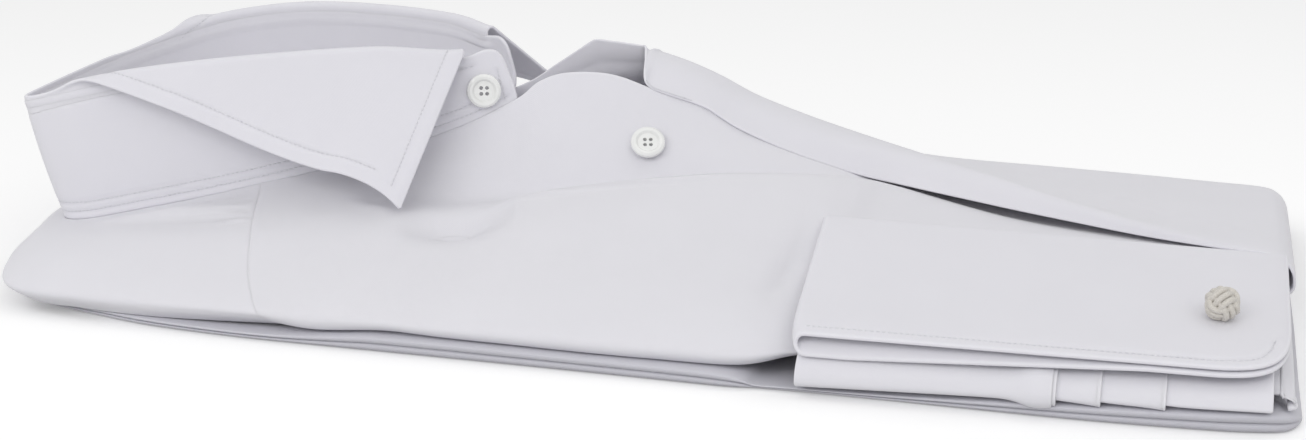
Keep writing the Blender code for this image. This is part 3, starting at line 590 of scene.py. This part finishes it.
def stitch_row(name, surface, side, path, finish, pitch=0.0016, thread=0.00016):
    """Short stitches laid end to end along a path on a surface, each a plump thread with sunk ends."""
    rows, columns = surface.shape[:2]
    index = np.arange(rows * columns).reshape(rows, columns)
    quads = np.stack([index[:-1, :-1], index[1:, :-1], index[1:, 1:], index[:-1, 1:]], axis=2).reshape(-1, 4)
    tree = BVHTree.FromPolygons(surface.reshape(-1, 3).tolist(), quads.tolist())
    length = np.concatenate([[0.0], np.cumsum(np.linalg.norm(np.diff(path, axis=0), axis=1))])
    marks = np.arange(pitch * 0.5, length[-1], pitch)
    spots = np.column_stack([np.interp(marks, length, path[:, axis]) for axis in range(3)])
    ahead = np.column_stack([np.interp(marks + pitch * 0.3, length, path[:, axis]) for axis in range(3)])
    points, faces = [], []
    rings = ((-0.42, 0.25, -0.9), (-0.28, 0.9, -0.1), (0.0, 1.0, 0.25), (0.28, 0.9, -0.1), (0.42, 0.25, -0.9))
    around = 5
    for spot, next_spot in zip(spots, ahead):
        place, normal, _, _ = tree.find_nearest(Vector(spot))
        run = Vector(next_spot) - Vector(spot)
        if run.length < 1e-7:
            continue
        normal = normal * side
        run = (run - normal * run.dot(normal)).normalized()
        aside = run.cross(normal)
        base = len(points)
        for along, size, height in rings:
            centre = place + run * along * pitch + normal * height * thread
            for turn in range(around):
                angle = 2 * math.pi * turn / around
                points.append(centre + (aside * math.cos(angle) + normal * math.sin(angle)) * thread * size)
        for ring in range(len(rings) - 1):
            for turn in range(around):
                first, second = base + ring * around + turn, base + ring * around + (turn + 1) % around
                faces.append((first, second, second + around, first + around))
        faces.append(tuple(range(base, base + around)))
        faces.append(tuple(range(base + (len(rings) - 1) * around, base + len(rings) * around)))
    made = put_in_scene(name, points, faces, finish)
    return made


def inset_path(edge, inner, inset):
    """A line beside an edge, a fixed distance in towards a second line."""
    towards = inner - edge
    run = np.gradient(edge, axis=0)
    run /= np.maximum(np.linalg.norm(run, axis=1, keepdims=True), 1e-12)
    towards -= run * np.sum(towards * run, axis=1, keepdims=True)
    towards /= np.maximum(np.linalg.norm(towards, axis=1, keepdims=True), 1e-12)
    return edge + towards * inset


def clouded_finish(name, scale, first, second, roughness):
    """A finish whose colour clouds between two; gives the material, its shader and the cloud's value."""
    made = bpy.data.materials.new(name)
    made.use_nodes = True
    nodes, links = made.node_tree.nodes, made.node_tree.links
    cloud = nodes.new("ShaderNodeTexNoise")
    cloud.inputs["Scale"].default_value = scale
    links.new(nodes.new("ShaderNodeTexCoord").outputs["Object"], cloud.inputs["Vector"])
    mix = nodes.new("ShaderNodeMix")
    mix.data_type = "RGBA"
    mix.inputs["A"].default_value = first
    mix.inputs["B"].default_value = second
    links.new(cloud.outputs["Fac"], mix.inputs["Factor"])
    shader = nodes["Principled BSDF"]
    links.new(mix.outputs["Result"], shader.inputs["Base Color"])
    shader.inputs["Roughness"].default_value = roughness
    return made, shader, cloud.outputs["Fac"]


THREAD_LOW, THREAD_HIGH = (0.62, 0.62, 0.66, 1.0), (0.74, 0.74, 0.77, 1.0)
thread_finish, thread_shader, _ = clouded_finish("sewing_thread", 4000.0, THREAD_LOW, THREAD_HIGH, 0.5)
thread_shader.inputs["Specular IOR Level"].default_value = 0.35
BUTTONHOLE_PITCH, BUTTONHOLE_THREAD = 0.0008, 0.00022
BUTTONHOLE_ASIDE = 0.0007     # how far each of its two rows lies from its slit
BUTTONHOLE = [(-.0140, -.0110, .0660), (-.0060, -.0120, .0628), (.0020, -.0125, .0595)]
for number, aside in enumerate((-BUTTONHOLE_ASIDE, BUTTONHOLE_ASIDE)):
    path = smooth_line(BUTTONHOLE, 12) + (0.0, aside * 0.8, aside * 0.6)
    stitch_row("buttonhole_%d" % number, left_grid, 1, path, thread_finish,
                                      BUTTONHOLE_PITCH, BUTTONHOLE_THREAD)

# ---------------------------------------------------------------------------------------------------------
# The neckline and the yoke: one panel of poplin over both shoulders, sewn under the collar band and to the
# fronts, and folded down behind the collar. It puffs up under the band and gathers a little at the seam.
# ---------------------------------------------------------------------------------------------------------
# Columns: the seam under the band, the band's top edge, then the leaf above it: its width, how far it turns
# outward in degrees, and how far its edge slides towards the back.
NECKLINE = [
    (-.0550, -.0240, .0597, -.0605, -.0252, .0800, .0670, 140, .0265),
    (-.0700, -.0318, .0522, -.0712, -.0312, .0735, .0575, 147, .0225),
    (-.0950, -.0430, .0436, -.0960, -.0420, .0748, .0475, 152, .0180),
    (-.1200, -.0535, .0365, -.1215, -.0530, .0736, .0372, 156, .010),
    (-.1450, -.0620, .0305, -.1480, -.0620, .0712, .0238, 154, .006),
    (-.1700, -.0690, .0252, -.1760, -.0690, .0672, .0110, 130, .003),
    (-.1900, -.0735, .0212, -.1980, -.0735, .0622, .0016, 20, .000),
    (-.2015, -.0695, .0202, -.2130, -.0700, .0588, .0013, 0, .000),
    (-.2065, -.0500, .0205, -.2140, -.0490, .0610, .0013, 0, .000),
    (-.2080, -.0150, .0215, -.2172, -.0150, .0630, .0013, 0, .000),
    (-.2040, .0200, .0225, -.2135, .0190, .0665, .0020, 30, .000),
    (-.1890, .0430, .0245, -.1985, .0430, .0715, .0150, 110, .000),
    (-.1650, .0500, .0285, -.1700, .0510, .0752, .0320, 125, .000),
    (-.1350, .0480, .0345, -.1360, .0490, .0755, .0440, 128, .000),
    (-.1050, .0390, .0430, -.1050, .0400, .0745, .0520, 128, .000),
    (-.0850, .0285, .0505, -.0860, .0290, .0722, .0550, 128, .000),
    (-.0720, .0200, .0562, -.0745, .0205, .0745, .0560, 128, .000),
]
# Columns: place along the neckline, then the middle, brow, side and lip of the panel.
YOKE = [
    (3.50, (-.1230, -.0838, .0254), (-.1137, -.1035, .0173), (-.1045, -.1170, .0100), (-.0985, -.1112, .0034)),
    (4.20, (-.1450, -.0900, .0233), (-.1400, -.1060, .0162), (-.1380, -.1172, .0090), (-.1380, -.1140, .0030)),
    (5.00, (-.1680, -.0920, .0215), (-.1680, -.1065, .0160), (-.1670, -.1168, .0085), (-.1660, -.1130, .0032)),
    (5.90, (-.1885, -.0905, .0197), (-.1905, -.1020, .0158), (-.1950, -.1115, .0085), (-.1880, -.1090, .0034)),
    (6.50, (-.2010, -.0820, .0183), (-.2050, -.0870, .0150), (-.2085, -.0910, .0098), (-.2010, -.0880, .0054)),
    (7.20, (-.2085, -.0670, .0182), (-.2130, -.0680, .0150), (-.2158, -.0690, .0100), (-.2080, -.0680, .0054)),
    (8.00, (-.2145, -.0480, .0186), (-.2190, -.0480, .0155), (-.2215, -.0480, .0102), (-.2140, -.0480, .0054)),
    (9.00, (-.2180, -.0130, .0192), (-.2230, -.0130, .0160), (-.2258, -.0130, .0105), (-.2180, -.0130, .0054)),
    (10.0, (-.2140, .0260, .0195), (-.2195, .0310, .0158), (-.2228, .0340, .0104), (-.2150, .0320, .0054)),
    (11.0, (-.2010, .0630, .0195), (-.2085, .0740, .0156), (-.2130, .0800, .0102), (-.2075, .0785, .0054)),
    (11.6, (-.1850, .0800, .0200), (-.1930, .0980, .0157), (-.1970, .1080, .0100), (-.1930, .1065, .0054)),
    (12.3, (-.1630, .0850, .0218), (-.1640, .1050, .0162), (-.1640, .1165, .0098), (-.1630, .1110, .0055)),
    (13.0, (-.1380, .0850, .0240), (-.1340, .1055, .0166), (-.1320, .1175, .0098), (-.1320, .1100, .0056)),
    (13.95, (-.1038, .0830, .0264), (-.1015, .1050, .0169), (-.1002, .1175, .0098), (-.0992, .1100, .0056)),
]
NECK_STEPS = 12              # fine points between two rows of the neckline
YOKE_STEPS, YOKE_ACROSS = 20, 26
MEET_ROWS = 30               # how many rows share the pull towards a seam
# Each crease: its width, and a line of places with columns x, y and height.
YOKE_CREASES = [
    (.0036, [(-.182, -.0790, .0000), (-.166, -.0785, .0018), (-.145, -.0735, .0026), (-.122, -.0655, .0018),
             (-.112, -.0610, .0000)]),
    (.0012, [(-.134, -.0700, .0000), (-.126, -.0660, .0016), (-.1225, -.0620, .0016)]),
    (.0010, [(-.138, -.0750, .0000), (-.130, -.0720, -.0014), (-.1250, -.0690, -.0014)]),
    (.0011, [(-.136, -.0810, .0000), (-.128, -.0770, .0014), (-.1230, -.0730, .0014)]),
    (.0060, [(-.185, -.0900, .0000), (-.150, -.0920, .0005), (-.118, -.0880, .0000)]),
    (.0080, [(-.205, .0550, .0000), (-.175, .0740, .0009), (-.150, .0700, .0000)]),
    (.0050, [(-.150, .0620, .0000), (-.130, .0640, -.0008), (-.108, .0560, .0000)]),
    (.0070, [(-.222, -.0300, .0000), (-.216, .0050, .0006), (-.214, .0400, .0000)]),
]


neck = smooth_line(NECKLINE, NECK_STEPS)
neck_seam, band_top = neck[:, 0:3], neck[:, 3:6]


def line_at(line, steps, place):
    """A point of a fine line at a place counted in the entries of its table."""
    spot = min(max(place * steps, 0.0), len(line) - 1.001)
    low = int(spot)
    return line[low] + (line[low + 1] - line[low]) * (spot - low)


def meet(grid, line):
    """Draws a grid's first row onto a neighbour's edge; the pull fades out over the rows behind it."""
    shares = []
    for points in (grid[0], line):
        run = np.concatenate([[0.0], np.cumsum(np.linalg.norm(np.diff(points, axis=0), axis=1))])
        shares.append(run / run[-1])
    goal = np.column_stack([np.interp(shares[0], shares[1], line[:, axis]) for axis in range(3)])
    fade = np.clip(1.0 - np.arange(len(grid)) / MEET_ROWS, 0.0, 1.0) ** 1.5
    return grid + (goal - grid[0])[None] * fade[:, None, None]


yoke_places = smooth_line([(row[0],) for row in YOKE], YOKE_STEPS)[:, 0]
yoke_columns = [smooth_line([row[column] for row in YOKE], YOKE_STEPS) for column in range(1, 5)]
yoke_neck = np.array([line_at(neck_seam, NECK_STEPS, place) for place in yoke_places])
yoke_neck[:, 2] -= SEAM_GAP
yoke_rows = np.stack([yoke_neck] + yoke_columns, axis=1)
yoke_grid = smooth_grid(yoke_rows, 1, YOKE_ACROSS)
yoke_grid = with_creases(yoke_grid, 1, YOKE_CREASES)
yoke_grid = meet(yoke_grid, right_grid[0])
yoke_grid = meet(yoke_grid[::-1], left_grid[0])[::-1]
yoke = cloth_shell("yoke_cloth", yoke_grid, PLY, 1, poplin)
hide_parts("yoke")

# ---------------------------------------------------------------------------------------------------------
# The inside of the back, seen down through the open collar: the same poplin, lying between the neck seams.
# ---------------------------------------------------------------------------------------------------------
BACK_ROWS = 12
NEAR_BACK, NEAR_SPAN = 7.0, -7.0     # places along the neckline, from the back towards the front
FAR_BACK, FAR_SPAN = 9.5, 6.5
BACK_FLOOR, BACK_RISE = 0.0185, 0.0110
back_rows = []
for step in range(BACK_ROWS + 1):
    share = step / BACK_ROWS
    floor = BACK_FLOOR + BACK_RISE * share
    first = line_at(neck_seam, NECK_STEPS, NEAR_BACK + NEAR_SPAN * share) + (0.002, 0.004, -0.004)
    last = line_at(neck_seam, NECK_STEPS, FAR_BACK + FAR_SPAN * share) + (0.002, -0.004, -0.004)
    row = [first, first * 0.75 + last * 0.25, (first + last) / 2, first * 0.25 + last * 0.75, last]
    row[1][2] = row[2][2] = row[3][2] = floor
    back_rows.append(row)
inside_grid = smooth_grid(back_rows, 5, 10)
inside_grid = with_creases(inside_grid, -1, [
    (.0060, [(-.190, -.030, .0), (-.150, -.020, .0012), (-.100, -.015, .0)]),
    (.0080, [(-.180, .020, .0), (-.140, .018, -.0010), (-.090, .010, .0)]),
])
inside_back = cloth_shell("inside_back", inside_grid, PLY, 1, poplin)

# ---------------------------------------------------------------------------------------------------------
# The collar band: two plies of poplin over stiff fusing, standing round the neck, with a rounded front end,
# two rows of stitching above the neck seam, one under its top edge and one near its front edge.
# ---------------------------------------------------------------------------------------------------------
BAND_THICK = 0.0013
BAND_STEPS = 41
BAND_BELLY = 0.0006
BAND_END_RADIUS = 0.0090
fused_poplin = cloth_finish("fused_poplin", POPLIN_WHITE, 0.000018, 0.00002, 0.00015, 0.06)
band_low = neck_seam + (0.0, 0.0, SEAM_GAP / 2)
band_high = band_top.copy()
end_run = np.concatenate([[0.0], np.cumsum(np.linalg.norm(np.diff(band_high, axis=0), axis=1))])
for run in (end_run, end_run[-1] - end_run):
    for index in np.flatnonzero(run < BAND_END_RADIUS):
        cut = BAND_END_RADIUS - math.sqrt(BAND_END_RADIUS**2 - (BAND_END_RADIUS - run[index]) ** 2)
        drop = band_low[index] - band_high[index]
        band_high[index] += drop / np.linalg.norm(drop) * cut
shares = np.linspace(0.0, 1.0, BAND_STEPS)[None, :, None]
belly = np.sin(np.linspace(0.0, math.pi, BAND_STEPS))[None, :, None] * BAND_BELLY
band_grid = band_low[:, None] * (1 - shares) + band_high[:, None] * shares
band_grid = band_grid + grid_normals(band_grid, -1) * belly


def stitched_down(grid, side, path, depth=0.00050, width=0.0008):
    """Sinks a fine groove in the cloth along a row of stitches."""
    rows = []
    for row in grid:
        gaps = np.linalg.norm(row[:, None] - path[None], axis=2).min(axis=1)
        rows.append(np.exp(-((gaps / width) ** 2)))
    return grid - grid_normals(grid, side) * depth * np.array(rows)[:, :, None]


# Two rows above the neck seam, one under the top edge, and one beside the front end.
band_rows = [
    inset_path(band_grid[2:-2, 0], band_grid[2:-2, 8], 0.0022),
    inset_path(band_grid[8:-8, 0], band_grid[8:-8, 8], 0.0052),
    inset_path(band_grid[10:-10, -1], band_grid[10:-10, -9], 0.0030),
    inset_path(band_grid[0, 2:-2], band_grid[5, 2:-2], 0.0035),
]
for path in band_rows:
    band_grid = stitched_down(band_grid, -1, path)
band = cloth_shell("collar_band_cloth", band_grid, BAND_THICK, -1, fused_poplin)
band_stitches = [
    stitch_row("band_stitches_%d" % number, band_grid, -1, path, thread_finish)
    for number, path in enumerate(band_rows)
]
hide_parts("collar_band")

# ---------------------------------------------------------------------------------------------------------
# The collar leaf: two plies of poplin over stiff fusing, turned out and top stitched 5 mm from its edges.
# It stands at the back and rolls outward over both fronts to its points.
# ---------------------------------------------------------------------------------------------------------
LEAF_THICK = 0.0011
LEAF_ROOT = 0.0040           # how far it reaches down between the plies of the band
LEAF_STAND = 0.0012
LEAF_RADIUS = 0.0026
LEAF_INSET = 0.0050
NEAR_LEAF_START, FAR_LEAF_END = 1, 15
ARC_STEPS, FALL_STEPS = 12, 50
leaf_rows = []
first_leaf, last_leaf = NEAR_LEAF_START * NECK_STEPS, FAR_LEAF_END * NECK_STEPS
for index in range(first_leaf, last_leaf + 1):
    run = band_top[min(index + 1, len(neck) - 1)] - band_top[index - 1]
    along = run / np.linalg.norm(run)
    away = np.array([-run[1], run[0], 0.0]) / math.hypot(run[0], run[1])
    width, turn, slide = neck[index, 6:9]
    total = math.radians(max(turn, 0.0))
    up = np.array([0.0, 0.0, 1.0])
    place = band_top[index] - away * (BAND_THICK - 0.0001)
    drop = band_low[index] - band_top[index]
    drop /= np.linalg.norm(drop)
    points = [place + drop * LEAF_ROOT * share for share in (1.0, 0.6, 0.25, 0.0)]
    stand = min(LEAF_STAND, 0.3 * width)
    place = place + up * stand
    points.append(place)
    arc_length = LEAF_RADIUS * total
    rest = max(width - arc_length - stand, 0.0005)
    for step in range(ARC_STEPS):
        angle = total * (step + 0.5) / ARC_STEPS
        turned = away * math.sin(angle) + up * math.cos(angle)
        place = place + turned * max(arc_length, 0.0004) / ARC_STEPS
        points.append(place)
    direction = away * math.sin(total) + up * math.cos(total)
    for share in 1.0 - (1.0 - np.linspace(0.0, 1.0, FALL_STEPS + 1)[1:]) ** 1.6:
        points.append(place + (direction * rest + along * slide) * share)
    leaf_rows.append(points)
leaf_grid = np.array(leaf_rows)
outer_stitches = slice(5, -5)       # along the outer edge, from near one point to near the other
front_stitches = slice(16, -12)     # down each front edge, from the turn to near the point
leaf_edges = [
    inset_path(leaf_grid[outer_stitches, -1], leaf_grid[outer_stitches, -14], LEAF_INSET),
    inset_path(leaf_grid[0, front_stitches], leaf_grid[6, front_stitches], LEAF_INSET),
    inset_path(leaf_grid[-1, front_stitches], leaf_grid[-7, front_stitches], LEAF_INSET),
]
for path in leaf_edges:
    leaf_grid = stitched_down(leaf_grid, 1, path)
leaf = cloth_shell("collar_leaf_cloth", leaf_grid, LEAF_THICK, 1, fused_poplin)
leaf_stitches = [
    stitch_row("leaf_stitches_%d" % number, leaf_grid, 1, path, thread_finish)
    for number, path in enumerate(leaf_edges)
]
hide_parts("collar_leaf")

# ---------------------------------------------------------------------------------------------------------
# The right sleeve's end: two plies of poplin brought round the near side. It is pleated into the cuff, so
# its pleats show below the cuff's edge, and the first hangs in a small loop.
# ---------------------------------------------------------------------------------------------------------
SLEEVE_THICK = 0.0010
SLEEVE_LEFT_X = 0.0630
SLEEVE_RIGHT_X = 0.1865
# Columns: y and z at the left end, y and z at the hem fold.
SLEEVE_LINES = [
    (-.1000, .0172, -.0970, .0164), (-.1090, .0150, -.1050, .0144), (-.1180, .0118, -.1140, .0116),
    (-.1222, .0072, -.1172, .0088), (-.1215, .0032, -.1165, .0066), (-.1130, .0028, -.1060, .0060),
]
# Columns: x of each pleat's edge, and how deep its step is.
SLEEVE_LOOP, SLEEVE_LOOP_WIDTH, SLEEVE_LOOP_X = 0.0016, 0.0050, 0.1270
PLEATS = [(.1325, .0012), (.1440, .0010), (.1605, .0010)]
sleeve_x = np.unique(np.concatenate([
    np.linspace(SLEEVE_LEFT_X, SLEEVE_RIGHT_X, 90),
    *[np.linspace(x - 0.0020, x + 0.0008, 15) for x, _ in PLEATS],
]))
sleeve_share = (sleeve_x - SLEEVE_LEFT_X) / (SLEEVE_RIGHT_X - SLEEVE_LEFT_X)
sleeve_table = np.array(SLEEVE_LINES)
sleeve_rows = []
for x, share in zip(sleeve_x, sleeve_share):
    yz = sleeve_table[:, :2] * (1 - share) + sleeve_table[:, 2:] * share
    sleeve_rows.append(np.column_stack([np.full(len(yz), x), yz]))
sleeve_grid = smooth_grid(sleeve_rows, np.arange(len(sleeve_rows), dtype=float), 10)
pleat_lift = np.zeros(len(sleeve_x))
for x, depth in PLEATS:
    pleat_lift += depth * np.where(sleeve_x < x, np.exp((sleeve_x - x) / 0.006), 0.0)
    pleat_lift -= 0.4 * depth * np.where(sleeve_x >= x, np.exp((x - sleeve_x) / 0.004), 0.0)
loop = SLEEVE_LOOP * np.exp(-(((sleeve_x - SLEEVE_LOOP_X) / SLEEVE_LOOP_WIDTH) ** 2))
pleat_lift += loop * np.where(sleeve_x < SLEEVE_LOOP_X + 0.0045, 1.0, 0.2)
across_fade = np.clip((np.linspace(0.0, 1.0, sleeve_grid.shape[1]) - 0.15) * 3.0, 0.0, 1.0)
sleeve_grid = sleeve_grid + grid_normals(sleeve_grid, -1) * (pleat_lift[:, None] * across_fade)[:, :, None]
sleeve = cloth_shell("sleeve_end_cloth", sleeve_grid, SLEEVE_THICK, -1, poplin)
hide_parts("right_sleeve")

# ---------------------------------------------------------------------------------------------------------
# The double cuff: two plies of poplin over stiff fusing, turned back on itself at a soft fold, with its
# lower corner rounded and top stitched near the edge. It is closed by a silk knot.
# ---------------------------------------------------------------------------------------------------------
CUFF_THICK = 0.0013
CUFF_TOP_X, CUFF_BOTTOM_X, CUFF_END_X = 0.0550, 0.0615, 0.1905
CUFF_CORNER = (0.0205, 0.0340)
CUFF_INSET = 0.0032
CUFF_PLY_GAP, CUFF_GAPE = 0.0006, 0.0036     # between the cuff's layers: all along, and more where it gapes
CUFF_STEPS, CUFF_TURN_STEPS = 70, 10
# Columns: y and z of the face at the side fold, y and z at the open ends.
CUFF_LINES = [
    (-.0500, .0340, -.0380, .0290), (-.0700, .0297, -.0580, .0264), (-.0930, .0240, -.0850, .0228),
    (-.1120, .0202, -.1060, .0196), (-.1195, .0184, -.1150, .0178),
]
cuff_table = smooth_line(CUFF_LINES, 10)
down_share = np.linspace(0.0, 1.0, len(cuff_table))


def cuff_line(share, depth_share):
    """The points down the cuff at a share of its length; depth_share 0 is its face and 1 its back."""
    gape = np.clip((down_share - 0.55) / 0.45, 0.0, 1.0) ** 1.5 * np.clip(1.15 - 1.6 * share, 0.0, 1.0)
    depth = 2 * CUFF_THICK + CUFF_PLY_GAP + CUFF_GAPE * gape
    left_x = CUFF_TOP_X + (CUFF_BOTTOM_X - CUFF_TOP_X) * down_share + depth / 2
    x = left_x + (CUFF_END_X - left_x) * share
    y = cuff_table[:, 0] * (1 - share) + cuff_table[:, 2] * share
    z = cuff_table[:, 1] * (1 - share) + cuff_table[:, 3] * share
    return np.column_stack([x, y, z - depth * depth_share]), depth


def corner_cut(line):
    reach_left = max(CUFF_END_X - line[-1, 0], 0.0)
    if reach_left >= CUFF_CORNER[0]:
        return line
    cut = CUFF_CORNER[1] * (1.0 - math.sqrt(max(1.0 - (1.0 - reach_left / CUFF_CORNER[0]) ** 2, 0.0)))
    keep = 1.0 - cut / np.linalg.norm(line[-1] - line[0])
    places = np.linspace(0.0, keep * (len(line) - 1), len(line))
    return spline_weights(len(line), places) @ line


end_shares = 1.0 - np.linspace(0.0, 1.0, CUFF_STEPS) ** 1.6
cuff_rows = [corner_cut(cuff_line(share, 0.0)[0]) for share in end_shares]
for step in range(1, CUFF_TURN_STEPS):
    angle = math.pi * step / CUFF_TURN_STEPS
    line, depth = cuff_line(0.0, 0.5 - 0.5 * math.cos(angle))
    line[:, 0] -= depth / 2 * math.sin(angle)
    cuff_rows.append(line)
cuff_rows += [corner_cut(cuff_line(share, 1.0)[0]) for share in end_shares[::-1]]
cuff_grid = np.array(cuff_rows)
cuff_edges = inset_path(cuff_grid[2:CUFF_STEPS, -1], cuff_grid[2:CUFF_STEPS, -12], CUFF_INSET)
cuff_grid[:CUFF_STEPS] = stitched_down(cuff_grid[:CUFF_STEPS], 1, cuff_edges)
cuff = cloth_shell("double_cuff", cuff_grid, CUFF_THICK, 1, fused_poplin)
cuff_stitches = stitch_row("cuff_stitches", cuff_grid[:CUFF_STEPS], 1, cuff_edges, thread_finish)
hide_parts("cuff_outer", "cuff_inner")

# ---------------------------------------------------------------------------------------------------------
# The buttons: four hole shirt buttons turned from pearly white resin, with a raised rim, sewn on with white
# thread through their holes.
# ---------------------------------------------------------------------------------------------------------
PEARL_HIGH, PEARL_LOW = (0.88, 0.88, 0.87, 1.0), (0.76, 0.77, 0.75, 1.0)
pearl, pearl_shader, _ = clouded_finish("pearl", 260.0, PEARL_HIGH, PEARL_LOW, 0.14)
pearl_shader.inputs["Coat Weight"].default_value = 0.4
pearl_shader.inputs["Coat Roughness"].default_value = 0.06

for node in ("front_button", "collar_button"):
    button = bpy.data.objects[node]
    for slot in button.material_slots:
        slot.material = pearl

# ---------------------------------------------------------------------------------------------------------
# The silk knot: a cufflink of corded silk. Three bands of three cords wind round it, each band over the next
# and under the last. The mesh is a joined set of cord loops.
# ---------------------------------------------------------------------------------------------------------
KNOT_WIDTH = 0.0104
KNOT_TURN = (38.0, -25.0, 35.0)
CORD_STEPS, CORD_AROUND = 72, 8
knot_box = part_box("cuff_knot")
knot_centre = (Vector(knot_box[0]) + Vector(knot_box[1])) / 2
cord = KNOT_WIDTH * 0.085
points, faces = [], []
for band_axis in range(3):
    first, second, third = [np.roll(row, band_axis) for row in np.eye(3)]
    for offset in (-1.0, 0.0, 1.0):
        rise = offset * cord * 2.0
        ring = []
        for step in range(CORD_STEPS):
            angle = 2 * math.pi * step / CORD_STEPS
            radius = KNOT_WIDTH / 2 * (0.86 + 0.10 * math.cos(2 * angle)) - cord - abs(offset) * cord * 0.35
            ring.append((first * math.cos(angle) + second * math.sin(angle)) * radius + third * rise)
        ring = np.array(ring)
        run = np.roll(ring, -1, axis=0) - np.roll(ring, 1, axis=0)
        run /= np.linalg.norm(run, axis=1, keepdims=True)
        base = len(points)
        for spot, ahead in zip(ring, run):
            outward = spot / np.linalg.norm(spot)
            outward = outward - ahead * (outward @ ahead)
            outward /= np.linalg.norm(outward)
            side = np.cross(ahead, outward)
            for turn in range(CORD_AROUND):
                angle = 2 * math.pi * turn / CORD_AROUND
                points.append(spot + (outward * math.cos(angle) + side * math.sin(angle)) * cord)
        for step in range(CORD_STEPS):
            for turn in range(CORD_AROUND):
                a = base + step * CORD_AROUND + turn
                b = base + step * CORD_AROUND + (turn + 1) % CORD_AROUND
                c = base + (step + 1) % CORD_STEPS * CORD_AROUND + (turn + 1) % CORD_AROUND
                d = base + (step + 1) % CORD_STEPS * CORD_AROUND + turn
                faces.append((a, b, c, d))

SILK_LOW, SILK_HIGH = (0.44, 0.41, 0.36, 1.0), (0.80, 0.77, 0.72, 1.0)
silk, silk_shader, silk_cloud = clouded_finish("corded_silk", 2600.0, SILK_LOW, SILK_HIGH, 0.45)
silk_shader.inputs["Sheen Weight"].default_value = 0.3
silk_bump = silk.node_tree.nodes.new("ShaderNodeBump")
silk_bump.inputs["Distance"].default_value = 0.0002
silk.node_tree.links.new(silk_cloud, silk_bump.inputs["Height"])
silk.node_tree.links.new(silk_bump.outputs["Normal"], silk_shader.inputs["Normal"])
knot = put_in_scene("silk_knot", points, faces, silk)
knot.rotation_euler = [math.radians(turn) for turn in KNOT_TURN]
knot.location = knot_centre
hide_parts("cuff_knot")
